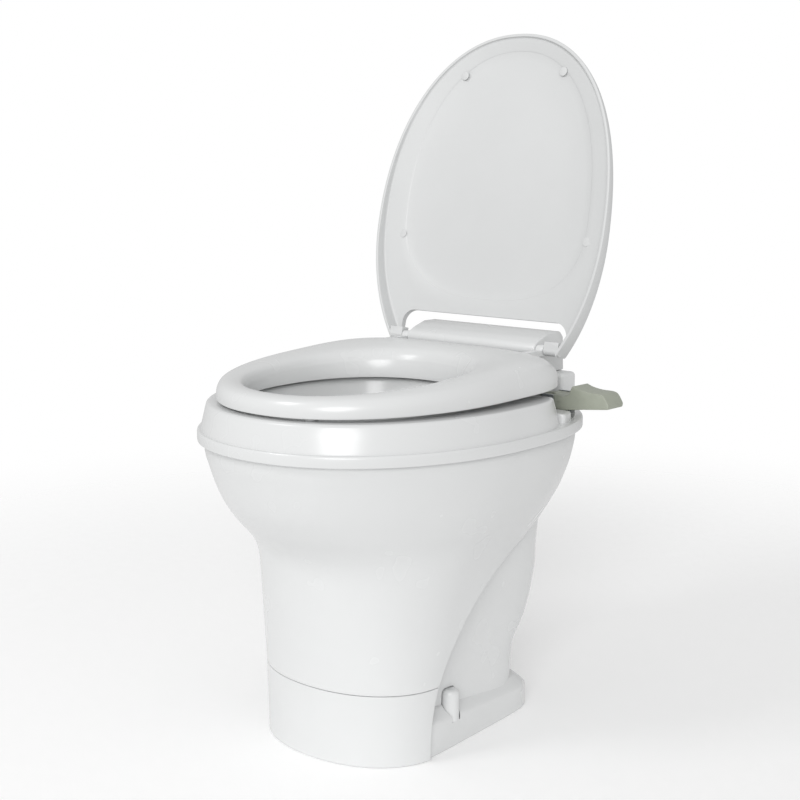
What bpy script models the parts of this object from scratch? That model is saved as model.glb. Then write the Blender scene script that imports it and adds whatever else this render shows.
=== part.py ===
# Gravity-flush toilet with a hand lever, fixed to the floor.
# Metres, +Z up, front towards -Y. The origin lies on the floor, under the rear of the foot.
import math

import bmesh
import bpy
from mathutils import Matrix, Vector
from mathutils.bvhtree import BVHTree

# Working values
OVERRUN = 0.010  # how far a cut runs past the face it opens
SEAM = 0.0003  # gap between pieces that touch
RUNNING = 0.0003  # radial gap round a pin or shaft that turns
MERGE = 0.00001
RING_POINTS = 32
ROUND_POINTS = 16
SPHERE_POINTS = 22
SMOOTH_ANGLE = math.radians(32)

# Plan of the whole top
WIDEST_Y = -0.151
WIDEST_HALF_WIDTH = 0.195
TOP_FRONT_REACH = 0.244
TOP_REAR_REACH = 0.230
FRONT_POWER = 2.12
REAR_POWER = 2.55

# Pedestal
PEDESTAL_HEIGHT = 0.358
PEDESTAL_WALL = 0.004
PEDESTAL_STEP_IN = 0.008  # how far its top lies inside the bead of the bowl
FLOOR_PLATE = 0.008
BASE_SHIFT = 0.056  # how far forward the widest line moves from top to base
# height, half width, front reach, widest line, rear reach
SHROUD_SHARES = (
    (0.000, 0.631, 0.636, 1.00, 0.592),
    (0.225, 0.642, 0.642, 1.00, 0.592),
    (0.377, 0.672, 0.658, 0.85, 0.706),
    (0.563, 0.709, 0.684, 0.60, 0.784),
    (0.606, 0.722, 0.692, 0.50, 0.803),
    (0.651, 0.749, 0.715, 0.35, 0.830),
    (0.696, 0.791, 0.764, 0.20, 0.876),
    (0.755, 0.856, 0.848, 0.10, 0.913),
    (0.823, 0.920, 0.920, 0.00, 0.950),
    (0.918, 0.979, 0.975, 0.00, 0.991),
    (0.980, 1.000, 1.000, 0.00, 1.000),
    (1.000, 1.000, 1.000, 0.00, 1.000),
)

# Arch that opens the shroud at the rear
ARCH_Y = 0.018
ARCH_Z = 0.020
ARCH_REACH = 0.235
ARCH_RISE = 0.222
ARCH_POINTS = 22

# Rear column, inside the arch
COLUMN_FRONT_Y = -0.235
COLUMN_WIDEST_Y = -0.120
COLUMN_HEIGHT = 0.300
COLUMN_HALF_WIDTH = 0.150
COLUMN_REAR = 0.170  # from the widest line to the rear wall, at the top
COLUMN_POWER = 5.0
# height, half width, rear reach
COLUMN_SHARES = (
    (0.140, 0.661, 0.610),
    (0.290, 0.675, 0.625),
    (0.345, 0.682, 0.700),
    (0.405, 0.693, 0.775),
    (0.500, 0.715, 0.825),
    (0.600, 0.749, 0.836),
    (0.707, 0.775, 0.815),
    (0.847, 0.810, 0.820),
    (1.000, 0.880, 0.880),
)

# Foot
FOOT_HALF_WIDTH = 0.115
FOOT_TAPER = 0.014  # how much narrower each side is at the rear
FOOT_FRONT_Y = -0.250
FOOT_REAR_Y = 0.008
FOOT_FRONT_HEIGHT = 0.040
FOOT_REAR_HEIGHT = 0.027
FOOT_SHOULDER = 0.013  # width of the sloping top
FOOT_SHOULDER_RISE = 0.012
FOOT_POWER = 7.0

# Base cover and the pocket behind it
COVER_HEIGHT = 0.084
COVER_WALL = 0.003
COVER_REAR_Y = -0.217
POCKET_DEPTH = 0.028

# Bolts to the floor, with their caps
SIDE_BOLT_X = 0.103
SIDE_BOLT_Y = -0.166
FRONT_BOLT_X = 0.055
FRONT_BOLT_INSET = 0.0256  # behind the front of the base
BOLT_RADIUS = 0.004
BOLT_HEAD_RADIUS = 0.0065
BOLT_HEAD_HEIGHT = 0.006
WASHER_RADIUS = 0.0080
WASHER_HEIGHT = 0.0016
SPOTFACE_Z = 0.030  # floor of the round pocket under a bolt cap
CAP_RADIUS = 0.0105
CAP_WALL = 0.002
CAP_TOP_Z = 0.067
CAP_DOME = 0.007
LOWER_WALL = 0.010  # of the column, behind the bolt caps
LOWER_WALL_TOP = 0.075

# Bowl: bead, band and deck
BEAD_HEIGHT = 0.0135
BOWL_WALL = 0.004
BEAD_ROUND = 0.003
BAND_HEIGHT = 0.0305
BAND_FOOT_INSET = 0.004
BAND_TOP_INSET = 0.012
BAND_EDGE = 0.003
BAND_REAR_REACH = 0.134
BAND_REAR_POWER = 3.5
NOTCH_Y = -0.052
DECK_RISE = 0.0105  # above the bead
DECK_INSET = 0.009
LIP_DEPTH = 0.006
LIP_WALL = 0.003

# Bowl: platform that carries the hinge
PLATFORM_HALF_WIDTH = 0.118
PLATFORM_FRONT_Y = 0.026
PLATFORM_REAR_Y = 0.056
PLATFORM_RISE = 0.032  # above the deck
PLATFORM_EDGE = 0.005

# Bowl: basin
BASIN_WALL = 0.0045
MOUTH_HALF_WIDTH = 0.122
RIM_FRONT_WIDTH = 0.043
MOUTH_REAR_REACH = 0.137
MOUTH_Y = -0.205
MOUTH_EDGE = 0.004
BASIN_FRONT_POWER = 2.1
BASIN_REAR_POWER = 2.8
# depth, half width, front reach, widest line towards the drain, rear reach
BASIN_SHARES = (
    (0.00, 1.000, 1.000, 0.00, 1.000),
    (0.16, 0.955, 0.950, 0.00, 0.960),
    (0.34, 0.890, 0.870, 0.05, 0.900),
    (0.54, 0.770, 0.730, 0.20, 0.810),
    (0.74, 0.580, 0.480, 0.50, 0.700),
    (0.90, 0.420, 0.160, 0.85, 0.640),
)
OUTLET_DEPTH = 0.010  # straight part above the flange

# Waste valve
DRAIN_Y = -0.160
BALL_Z = 0.140
BALL_RADIUS = 0.060
BALL_WALL = 0.004
BALL_HALF_ANGLE = math.radians(43.5)
BALL_STEPS = 5
BALL_EAR_Y = 0.035
BALL_EAR_THICKNESS = 0.005
BALL_EAR_HALF_WIDTH = 0.009
OUTLET_RADIUS = 0.038
OUTLET_WALL = 0.005
FLANGE_RADIUS = 0.062
FLANGE_THICKNESS = 0.005
FLANGE_SCREW_CIRCLE = 0.0565
FLANGE_SCREWS = 4
SCREW_POINTS = 10
HOUSING_GAP = 0.003  # round the ball
HOUSING_WALL = 0.004
SEAL_RADIUS = 0.047
SEAL_HEIGHT = 0.0064
SEAL_LIFT = 0.0469  # from the ball's centre to the seal's lower face
GASKET_HEIGHT = 0.002
COVER_PLATE_Y = 0.049  # from the ball's centre to the inner face of the front plate
COVER_PLATE_RADIUS = 0.053
FRONT_OPENING_RADIUS = 0.042
HOUSING_RISE = 0.058  # from the ball's centre to the top of the housing
COVER_PLATE_THICKNESS = 0.004
NECK_RADIUS = 0.0495
NECK_BOTTOM_Z = 0.060
PIPE_RADIUS = 0.0447
PIPE_WALL = 0.0037
PIPE_TOP_Z = 0.076
PIPE_FLANGE_RADIUS = 0.074
PIPE_FLANGE_THICKNESS = 0.004
FLOOR_SEAL_RADIUS = 0.063
FLOOR_SEAL_BORE = 0.046
SCREW_RADIUS = 0.002
SCREW_HEAD_RADIUS = 0.0042
SCREW_HEAD_HEIGHT = 0.003
SCREW_LENGTH = 0.010

# Shaft and what it carries; each Y is where the piece starts, going back
SHAFT_RADIUS = 0.006
SHAFT_END_Y = -0.027
BUSH_RADIUS = 0.0094
BUSH_LENGTH = 0.014
BOSS_RADIUS = 0.014
BOSS_REACH = 0.074  # from the ball's centre to the end of the rear boss
FRONT_BOSS_REACH = 0.008
SPRING_TURNS = 5
SPRING_POINTS_PER_TURN = 8
SPRING_RADIUS = 0.0105
SPRING_WIRE = 0.0012
SPRING_PITCH = 0.0036
SPRING_LEG = 0.012
CAM_Y = -0.056
CAM_THICKNESS = 0.010
CAM_LOW_RADIUS = 0.012
CAM_LIFT = 0.005
CAM_POINTS = 24
CAM_RISE_DEGREES = 106
CAM_FALL_DEGREES = 254
CRANK_Y = -0.034
CRANK_THICKNESS = 0.006
CRANK_RADIUS = 0.0177
CRANK_HUB_RADIUS = 0.011
CRANK_END_RADIUS = 0.006
CRANK_REST_ANGLE = math.radians(-45)
CRANK_PIN_RADIUS = 0.003
CRANK_SLACK = 0.0008  # between the crank pin and its slot
CRANK_PIN_LENGTH = 0.011

# Link rod between lever and crank
ROD_X = 0.015
ROD_Y = -0.025
ROD_THICKNESS = 0.007
ROD_HALF_WIDTH = 0.005
ROD_EYE_WALL = 0.0035
ROD_EYE_SLACK = 0.0004

# Hand lever
PIVOT_X = 0.135
PIVOT_Z = 0.391
LEVER_Y = -0.010
LEVER_HALF_DEPTH = 0.016
LEVER_TIP_X = 0.217
LEVER_EDGE = 0.0022
LEVER_HUB_RADIUS = 0.008
ARM_HALF_HEIGHT = 0.004
ARM_DEPTH = 0.012
ARM_GAP = 0.0015  # between the rod and the arm
ARM_PIN_RADIUS = 0.003
# reach from the pivot over the reach to the tip, height from the pivot over the lever's rise
LEVER_TIP_RISE = 0.020
LEVER_OUTLINE_SHARES = (
    (-0.10, 0.35),
    (0.25, 0.33),
    (0.33, 0.45),
    (0.39, 1.00),
    (0.50, 0.84),
    (0.66, 0.74),
    (0.85, 0.72),
    (0.93, 0.55),
    (1.00, 0.10),
    (0.99, -0.12),
    (0.60, -0.30),
    (0.26, -0.49),
    (-0.10, -0.50),
)
LEVER_PIN_RADIUS = 0.003
LEVER_PIN_HEAD = 0.005
LEVER_PIN_HEAD_LENGTH = 0.002

# Channel through the deck for the lever, and the bracket in it
CHANNEL_GAP = 0.004  # beside the lever
CHANNEL_INNER_X = 0.003
BRACKET_WALL = 0.0025
BRACKET_GAP = 0.001  # beside the lever
BRACKET_HALF_WIDTH = 0.008
BRACKET_FLANGE = 0.009
BRACKET_TOP = 0.0075  # above the pin
BRACKET_DROP = 0.0185  # below the pin

# Water works
VALVE_RADIUS = 0.013
VALVE_LENGTH = 0.030
VALVE_WALL = 0.003
PLUNGER_RADIUS = 0.004
PLUNGER_HEAD_RADIUS = 0.007
PLUNGER_HEAD_THICKNESS = 0.003
PLUNGER_DEPTH = 0.014  # inside the valve
NIPPLE_RADIUS = 0.0105
NIPPLE_BORE = 0.007
NIPPLE_END_Y = 0.030
NIPPLE_HEX_RADIUS = 0.0135
NIPPLE_HEX_LENGTH = 0.008
NIPPLE_HOLE_GAP = 0.006
VALVE_STRAP = 0.004
HOSE_RADIUS = 0.0065
HOSE_LEAD_SHARE = 0.22
BARB_RADIUS = 0.0062
BARB_LENGTH = 0.008
BREAKER_X = -0.085
BREAKER_Y = -0.012
BREAKER_RADIUS = 0.017
BREAKER_HEIGHT = 0.038
BREAKER_CAP_RADIUS = 0.020
BREAKER_CAP_HEIGHT = 0.007
NOZZLE_X = -0.030
NOZZLE_DROP = 0.032  # below the rim
NOZZLE_RADIUS = 0.008
NOZZLE_LENGTH = 0.022
NOZZLE_BORE = 0.004

# Seat
SEAT_HALF_WIDTH = 0.170
SEAT_TIP_INSET = 0.020  # behind the front of the bead
SEAT_FRONT_WIDTH = 0.029  # of the ring, at the front
SEAT_REAR_REACH = 0.138
SEAT_REAR_POWER = 5.0
SEAT_LIFT = 0.003  # from the rim to the seat's lower face, at the front
SEAT_FRONT_THICKNESS = 0.020
SEAT_REAR_THICKNESS = 0.0378
SEAT_UNDER_SLOPE = 0.017
OPENING_HALF_WIDTH = 0.112
OPENING_REAR_REACH = 0.130
OPENING_Y = -0.208
OPENING_POWER = 2.2
SEAT_WALL = 0.004
SEAT_ROOF_SHARE = 0.45  # height of the hollow under the seat, over its thickness
# from the outer edge to the opening, height over the thickness
SEAT_SECTION_SHARES = (
    (0.02, 0.00),
    (0.00, 0.10),
    (0.005, 0.40),
    (0.05, 0.64),
    (0.17, 0.88),
    (0.45, 1.00),
    (0.80, 0.93),
    (0.94, 0.76),
    (1.00, 0.48),
)
SEAT_SKIRT_SHARE = 0.06  # height of the skirt's rounded foot, over the thickness
SEAT_CROWN_SHARE = 0.45
SEAT_EAR_INNER_X = 0.1003
SEAT_EAR_THICKNESS = 0.0104
KNUCKLE_RADIUS = 0.009
SEAT_EAR_REACH = 0.046
BUMPER_RADIUS = 0.008
BUMPER_SEAT_DEGREES = {"rear": 15, "front": -67}

# Hinge
HINGE_Y = 0.0
HINGE_Z = 0.445
HINGE_PIN_RADIUS = 0.004
HINGE_COVER_HALF_WIDTH = 0.0997
HINGE_COVER_REAR_Y = 0.055
HINGE_COVER_RISE = 0.018  # above the hinge line
HINGE_COVER_WALL = 0.004
HINGE_COVER_EDGE = 0.002
# depth behind the hinge line, height above it
HINGE_COVER_TOP_SHARES = (
    (0.073, 0.667),
    (0.436, 1.000),
    (0.836, 1.000),
    (0.964, 0.611),
)
BARREL_START_DEGREES = 116
BARREL_SPAN_DEGREES = 118
BARREL_POINTS = 8
HINGE_PIN_GRIP = 0.0217  # inside the cover
HINGE_BOLT_GRIP = 0.011
HINGE_BOLT_X = 0.088
HINGE_BOLT_RADIUS = 0.004
HINGE_BOLT_Y = 0.043
HINGE_NUT_RADIUS = 0.008
HINGE_NUT_HEIGHT = 0.007
HINGE_BOLT_REACH = 0.014  # below the platform's ceiling

# Lid
LID_HALF_WIDTH = 0.1758
LID_TIP_INSET = 0.0067  # behind the front of the bead
LID_WIDEST = 0.1466
LID_LEG_SIDE = 0.0024  # outside the solid part of a leg, at the hinge line
LID_FRONT_POWER = 2.18
LID_REAR_POWER = 2.02
LID_TAIL = 0.010  # behind the hinge line
LID_OPEN_ANGLE = math.radians(102.5)
LID_WALL = 0.004
LID_SHELL = 0.0045
LID_MIDDLE_SHARE = 0.4  # of the way from hinge to tip
# heights at the hinge, the middle and the tip
LID_RIM_HEIGHTS = (-0.0063, -0.0111, 0.0)
LID_BACK_HEIGHTS = (0.020, 0.0047, 0.0081)
LID_DOME = 0.009
LID_POINTS = 40
LID_EDGE = 0.006
LID_SHOULDER_INSET = 0.030
LID_SHOULDER_SHARE = 0.55  # how much of the dome the shoulder has
LID_CROWN_INSET = 0.080
LID_BORDER_SINK = 0.0012  # how much thicker the border is than the panel
LID_PANEL_STEP = 0.0015
PANEL_HALF_WIDTH = 0.142
PANEL_WIDEST = 0.165
PANEL_REAR = 0.055
PANEL_TIP_INSET = 0.020
PANEL_POWER = 2.6
LID_CUT_HALF_WIDTH = 0.1113  # between the knuckles
LID_WINDOW_HALF_WIDTH = 0.129
LID_CUT_REACH = 0.035
LID_CUT_CORNER = 0.018
LID_LEG_SOLID = 0.0205
LID_LEG_WEB = 0.010
LID_PIN_WALL = 0.003
CORNER_POINTS = 5
LID_BUMPER_RADIUS = 0.006
BUMPER_LID_DEGREES = {"rear": 8, "front": -60}
BUMPER_GAP = 0.0008


def clear_scene():
    for item in list(bpy.data.objects):
        bpy.data.objects.remove(item, do_unlink=True)


def make_collection(name):
    made = bpy.data.collections.new(name)
    bpy.context.scene.collection.children.link(made)
    return made


def material(name, colour, roughness, metallic=0.0):
    made = bpy.data.materials.new(name)
    made.use_nodes = True
    shader = made.node_tree.nodes["Principled BSDF"]
    shader.inputs["Base Color"].default_value = (*colour, 1.0)
    shader.inputs["Roughness"].default_value = roughness
    shader.inputs["Metallic"].default_value = metallic
    made.diffuse_color = (*colour, 1.0)
    return made


clear_scene()
PARTS = make_collection("gravity_toilet")
CUTTERS = make_collection("cutters")
WHITE = material("white_gloss_plastic", (0.88, 0.89, 0.88), 0.22)
LEVER_GREY = material("grey_green_plastic", (0.37, 0.39, 0.32), 0.40)
DARK_PLASTIC = material("dark_plastic", (0.06, 0.06, 0.065), 0.45)
ACETAL = material("natural_acetal", (0.70, 0.70, 0.66), 0.35)
RUBBER = material("black_rubber", (0.02, 0.02, 0.02), 0.80)
HOSE = material("grey_hose", (0.33, 0.34, 0.35), 0.55)
STEEL = material("zinc_steel", (0.60, 0.61, 0.63), 0.35, 1.0)
BRASS = material("brass", (0.62, 0.46, 0.20), 0.35, 1.0)


# Shapes

def place_mesh(name, mesh):
    made = bpy.data.objects.new(name, mesh)
    CUTTERS.objects.link(made)
    made.display_type = "WIRE"
    made.hide_render = True
    return made


def from_builder(name, builder):
    long_faces = [face for face in builder.faces if len(face.verts) > 4]
    bmesh.ops.triangulate(builder, faces=long_faces)
    bmesh.ops.recalc_face_normals(builder, faces=builder.faces)
    mesh = bpy.data.meshes.new(name)
    builder.to_mesh(mesh)
    builder.free()
    return place_mesh(name, mesh)


def settle(item):
    """Turns an object and its modifiers into a plain, closed mesh in world space."""
    bpy.context.view_layer.update()
    evaluated = item.evaluated_get(bpy.context.evaluated_depsgraph_get())
    mesh = bpy.data.meshes.new_from_object(evaluated)
    mesh.transform(item.matrix_world)
    builder = bmesh.new()
    builder.from_mesh(mesh)
    bmesh.ops.remove_doubles(builder, verts=builder.verts, dist=MERGE)
    bmesh.ops.recalc_face_normals(builder, faces=builder.faces)
    builder.to_mesh(mesh)
    builder.free()
    name = item.name
    bpy.data.objects.remove(item, do_unlink=True)
    return place_mesh(name, mesh)


def loft(name, rings, wrap=False):
    builder = bmesh.new()
    rows = [[builder.verts.new(point) for point in ring] for ring in rings]
    pairs = list(zip(rows, rows[1:]))
    if wrap:
        pairs.append((rows[-1], rows[0]))
    else:
        builder.faces.new(rows[0])
        builder.faces.new(rows[-1])
    count = len(rows[0])
    for low, high in pairs:
        for index in range(count):
            following = (index + 1) % count
            builder.faces.new((low[index], low[following], high[following], high[index]))
    return from_builder(name, builder)


def box(name, low, high):
    builder = bmesh.new()
    bmesh.ops.create_cube(builder, size=1)
    low = Vector(low)
    high = Vector(high)
    bmesh.ops.scale(builder, vec=high - low, verts=builder.verts)
    bmesh.ops.translate(builder, vec=(low + high) / 2, verts=builder.verts)
    return from_builder(name, builder)


def soft_box(name, low, high, edge):
    """A box whose upright and upper edges are rounded."""
    made = box(name, low, high)
    builder = bmesh.new()
    builder.from_mesh(made.data)
    upper = [e for e in builder.edges if max(v.co.z for v in e.verts) > (low[2] + high[2]) / 2]
    bmesh.ops.bevel(builder, geom=upper, offset=edge, segments=3, profile=0.5, affect="EDGES")
    builder.to_mesh(made.data)
    builder.free()
    return made


def cylinder(name, radius, start, end, points=ROUND_POINTS, end_radius=None):
    start = Vector(start)
    end = Vector(end)
    span = end - start
    builder = bmesh.new()
    turn = span.to_track_quat("Z", "Y").to_matrix().to_4x4()
    bmesh.ops.create_cone(
        builder,
        cap_ends=True,
        segments=points,
        radius1=radius,
        radius2=radius if end_radius is None else end_radius,
        depth=span.length,
        matrix=Matrix.Translation((start + end) / 2) @ turn,
    )
    return from_builder(name, builder)


def turned(name, profile, start, direction, points=ROUND_POINTS):
    """Turns a closed profile of (radius, distance along) about a line from start."""
    mesh = bpy.data.meshes.new(name)
    rows = [(radius, 0, along) for radius, along in profile]
    count = len(rows)
    edges = [(index, (index + 1) % count) for index in range(count)]
    edges = [pair for pair in edges if rows[pair[0]][0] > 0 or rows[pair[1]][0] > 0]
    mesh.from_pydata(rows, edges, [])
    made = place_mesh(name, mesh)
    screw = made.modifiers.new("Screw", "SCREW")
    screw.steps = points
    screw.render_steps = points
    screw.use_merge_vertices = True
    screw.merge_threshold = MERGE
    turn = Vector(direction).to_track_quat("Z", "Y").to_matrix().to_4x4()
    made.matrix_world = Matrix.Translation(start) @ turn
    return settle(made)


def ring(name, outer, bore, start, direction, length, points=ROUND_POINTS):
    profile = ((outer, length), (outer, 0), (bore, 0), (bore, length))
    return turned(name, profile, start, direction, points)


def plate(name, outline, low_y, high_y):
    """An outline of (x, z) points, extruded from low_y to high_y."""
    curve = bpy.data.curves.new(name, "CURVE")
    curve.dimensions = "2D"
    curve.fill_mode = "BOTH"
    curve.extrude = (high_y - low_y) / 2
    spline = curve.splines.new("POLY")
    spline.points.add(len(outline) - 1)
    for point, (x, z) in zip(spline.points, outline):
        point.co = (x, z, 0, 1)
    spline.use_cyclic_u = True
    made = bpy.data.objects.new(name, curve)
    CUTTERS.objects.link(made)
    made.matrix_world = Matrix.Translation((0, (low_y + high_y) / 2, 0)) @ Matrix.Rotation(
        math.radians(90), 4, "X"
    )
    return settle(made)


def side_plate(name, outline, low_x, high_x):
    """An outline of (y, z) points, extruded from low_x to high_x."""
    made = plate(name, outline, -high_x, -low_x)
    made.matrix_world = Matrix.Rotation(math.radians(90), 4, "Z")
    return settle(made)


def tube(name, points, radius, resolution=2):
    curve = bpy.data.curves.new(name, "CURVE")
    curve.dimensions = "3D"
    curve.bevel_depth = radius
    curve.bevel_resolution = resolution
    curve.use_fill_caps = True
    spline = curve.splines.new("POLY")
    spline.points.add(len(points) - 1)
    for point, place in zip(spline.points, points):
        point.co = (*place, 1)
    made = bpy.data.objects.new(name, curve)
    CUTTERS.objects.link(made)
    return settle(made)


def smooth_path(corners, steps):
    """Points on a smooth curve through the corners."""
    corners = [Vector(corner) for corner in corners]
    ends = [2 * corners[0] - corners[1]] + corners + [2 * corners[-1] - corners[-2]]
    path = []
    for before, start, end, after in zip(ends, ends[1:], ends[2:], ends[3:]):
        for step in range(steps):
            share = step / steps
            path.append(
                (
                    2 * start
                    + (end - before) * share
                    + (2 * before - 5 * start + 4 * end - after) * share**2
                    + (3 * start - before - 3 * end + after) * share**3
                )
                / 2
            )
    path.append(corners[-1])
    return path


def combine(target, tool, operation):
    step = target.modifiers.new(operation, "BOOLEAN")
    step.object = tool
    step.operation = operation
    step.solver = "EXACT"
    made = settle(target)
    bpy.data.objects.remove(tool, do_unlink=True)
    return made


def join(target, *tools):
    for tool in tools:
        target = combine(target, tool, "UNION")
    return target


def cut(target, *tools):
    for tool in tools:
        target = combine(target, tool, "DIFFERENCE")
    return target


def soften(item, width, angle):
    bevel = item.modifiers.new("Bevel", "BEVEL")
    bevel.width = width
    bevel.segments = 2
    bevel.limit_method = "ANGLE"
    bevel.angle_limit = angle
    bevel.use_clamp_overlap = True
    return settle(item)


def finish(item, name, surface, origin=(0, 0, 0), turn=0):
    """Names a piece, gives it its material and puts its origin where it turns or slides."""
    mesh = item.data
    mesh.transform(Matrix.Translation(-Vector(origin)))
    mesh.materials.clear()
    mesh.materials.append(surface)
    mesh.shade_smooth()
    mesh.set_sharp_from_angle(angle=SMOOTH_ANGLE)
    mesh.name = name
    CUTTERS.objects.unlink(item)
    PARTS.objects.link(item)
    item.name = name
    item.display_type = "TEXTURED"
    item.hide_render = False
    item.location = origin
    item.rotation_euler.x = turn
    return item


# Outlines

def egg_point(angle, half_width, front, rear, widest_y, powers, z, inset=0):
    across = math.cos(angle)
    along = math.sin(angle)
    power = powers[1] if along > 0 else powers[0]
    reach = rear if along > 0 else front
    x = (half_width - inset) * math.copysign(abs(across) ** (2 / power), across)
    y = widest_y + (reach - inset) * math.copysign(abs(along) ** (2 / power), along)
    return Vector((x, y, z))


def egg(half_width, front, rear, widest_y, powers, z, inset=0, count=RING_POINTS):
    """A ring whose front and rear halves have their own reach and roundness."""
    angles = [2 * math.pi * step / count for step in range(count)]
    sizes = (half_width, front, rear, widest_y, powers, z, inset)
    return [egg_point(angle, *sizes) for angle in angles]


def circle(radius, centre_y, z, count=RING_POINTS):
    return egg(radius, radius, radius, centre_y, (2, 2), z, 0, count)


def row_at(rows, share):
    """The row of a table at a share of its height, worked out between its neighbours."""
    for low, high in zip(rows, rows[1:]):
        if share <= high[0]:
            break
    part = min(1, max(0, (share - low[0]) / (high[0] - low[0])))
    return [a + (b - a) * part for a, b in zip(low, high)]


def blend(start, end, share):
    share = min(1, max(0, share))
    return start + (end - start) * share


def levels(rows, height, bottom, top):
    between = [row[0] * height for row in rows if bottom < row[0] * height < top]
    return [bottom, *between, top]


def link_outline(a, radius_a, b, radius_b, arc_points=6):
    """Two round ends and the straight sides between them."""
    a = Vector(a)
    b = Vector(b)
    line = b - a
    heading = math.atan2(line.y, line.x)
    lean = math.acos((radius_a - radius_b) / line.length)
    points = []
    for centre, radius, start, span in (
        (a, radius_a, heading + lean, 2 * (math.pi - lean)),
        (b, radius_b, heading - lean, 2 * lean),
    ):
        for step in range(arc_points + 1):
            angle = start + span * step / arc_points
            points.append((centre.x + radius * math.cos(angle), centre.y + radius * math.sin(angle)))
    return points


# Levels and reaches that several pieces share
BEAD_BOTTOM = PEDESTAL_HEIGHT + SEAM
BEAD_TOP = BEAD_BOTTOM + BEAD_HEIGHT
RIM_Z = BEAD_TOP + BAND_HEIGHT
DECK_Z = BEAD_TOP + DECK_RISE
PLATFORM_Z = DECK_Z + PLATFORM_RISE
HOUSING_TOP = BALL_Z + HOUSING_RISE
FLANGE_BOTTOM = HOUSING_TOP + GASKET_HEIGHT + 2 * SEAM
OUTLET_TOP = FLANGE_BOTTOM + FLANGE_THICKNESS + OUTLET_DEPTH
SEAL_BOTTOM = BALL_Z + SEAL_LIFT
SEAL_TOP = SEAL_BOTTOM + SEAL_HEIGHT
OUTLET_BOTTOM = SEAL_TOP + SEAM
SIDE_REACH = 2 * WIDEST_HALF_WIDTH  # long enough to cut right across
TOP_FRONT_Y = WIDEST_Y - TOP_FRONT_REACH
BASE_FRONT_Y = WIDEST_Y - SHROUD_SHARES[0][2] * (TOP_FRONT_REACH - PEDESTAL_STEP_IN)
MOUTH_FRONT_REACH = MOUTH_Y - TOP_FRONT_Y - RIM_FRONT_WIDTH
SEAT_FRONT_REACH = TOP_FRONT_REACH - SEAT_TIP_INSET
OPENING_FRONT_REACH = OPENING_Y - TOP_FRONT_Y - SEAT_TIP_INSET - SEAT_FRONT_WIDTH
LID_LENGTH = HINGE_Y - TOP_FRONT_Y - LID_TIP_INSET
LID_HINGE_SHARE = (LID_CUT_HALF_WIDTH + LID_LEG_SOLID + LID_LEG_SIDE) / LID_HALF_WIDTH
LID_REAR_REACH = LID_WIDEST / (1 - LID_HINGE_SHARE**LID_REAR_POWER) ** (1 / LID_REAR_POWER)
ARM_LENGTH = PIVOT_X - ROD_X
ROD_TRAVEL = 2 * CRANK_RADIUS * math.sin(-CRANK_REST_ANGLE)
ARM_REST_ANGLE = -math.asin(ROD_TRAVEL / 2 / ARM_LENGTH)
CRANK_PIN_X = CRANK_RADIUS * math.cos(CRANK_REST_ANGLE)
CRANK_PIN_Z = BALL_Z + CRANK_RADIUS * math.sin(CRANK_REST_ANGLE)
ARM_PIN_X = PIVOT_X - ARM_LENGTH * math.cos(ARM_REST_ANGLE)
ARM_PIN_Z = PIVOT_Z + ARM_LENGTH * math.sin(ARM_REST_ANGLE)
ARM_Y = ROD_Y + ROD_THICKNESS + ARM_GAP
CHANNEL_HALF_DEPTH = LEVER_HALF_DEPTH + CHANNEL_GAP


# Pedestal

def shroud_ring(z, inset):
    _, width, front, shift, rear = row_at(SHROUD_SHARES, z / PEDESTAL_HEIGHT)
    step_in = PEDESTAL_STEP_IN
    moved = shift * BASE_SHIFT
    return egg(
        width * (WIDEST_HALF_WIDTH - step_in),
        front * (TOP_FRONT_REACH - step_in) - moved,
        rear * (TOP_REAR_REACH - step_in) + moved,
        WIDEST_Y - moved,
        (FRONT_POWER, REAR_POWER),
        z,
        inset,
    )


def shroud(name, inset, bottom, top):
    heights = levels(SHROUD_SHARES, PEDESTAL_HEIGHT, bottom, top)
    return loft(name, [shroud_ring(z, inset) for z in heights])


def arch(name, grow):
    """What the arch takes out of the shroud, across its whole width."""
    outline = [(ARCH_Y - ARCH_REACH - grow, -OVERRUN)]
    for step in range(ARCH_POINTS + 1):
        angle = math.pi * step / ARCH_POINTS
        y = ARCH_Y - (ARCH_REACH + grow) * math.cos(angle)
        z = ARCH_Z + (ARCH_RISE + grow) * math.sin(angle)
        outline.append((y, z))
    outline.append((ARCH_Y + ARCH_REACH + grow, -OVERRUN))
    return side_plate(name, outline, -SIDE_REACH, SIDE_REACH)


def column(name, inset, bottom, top):
    rings = []
    for z in levels(COLUMN_SHARES, COLUMN_HEIGHT, bottom, top):
        _, width, rear = row_at(COLUMN_SHARES, z / COLUMN_HEIGHT)
        rings.append(
            egg(
                width * COLUMN_HALF_WIDTH,
                COLUMN_WIDEST_Y - COLUMN_FRONT_Y,
                rear * COLUMN_REAR,
                COLUMN_WIDEST_Y,
                (COLUMN_POWER, COLUMN_POWER),
                z,
                inset,
            )
        )
    return loft(name, rings)


def foot():
    rings = []
    for share, inset, rise in ((0, 0, 0), (1, 0, 0), (1, FOOT_SHOULDER, FOOT_SHOULDER_RISE)):
        middle = (FOOT_FRONT_Y + FOOT_REAR_Y) / 2
        reach = (FOOT_REAR_Y - FOOT_FRONT_Y) / 2
        ring_points = egg(
            FOOT_HALF_WIDTH, reach, reach, middle, (FOOT_POWER, FOOT_POWER), 0, inset
        )
        for point in ring_points:
            back = (point.y - COVER_REAR_Y) / (FOOT_REAR_Y - COVER_REAR_Y)
            point.x *= 1 - blend(0, FOOT_TAPER / FOOT_HALF_WIDTH, back)
            point.z = share * blend(FOOT_FRONT_HEIGHT, FOOT_REAR_HEIGHT, back) + share * rise
        rings.append(ring_points)
    return loft("foot", rings)


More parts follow.
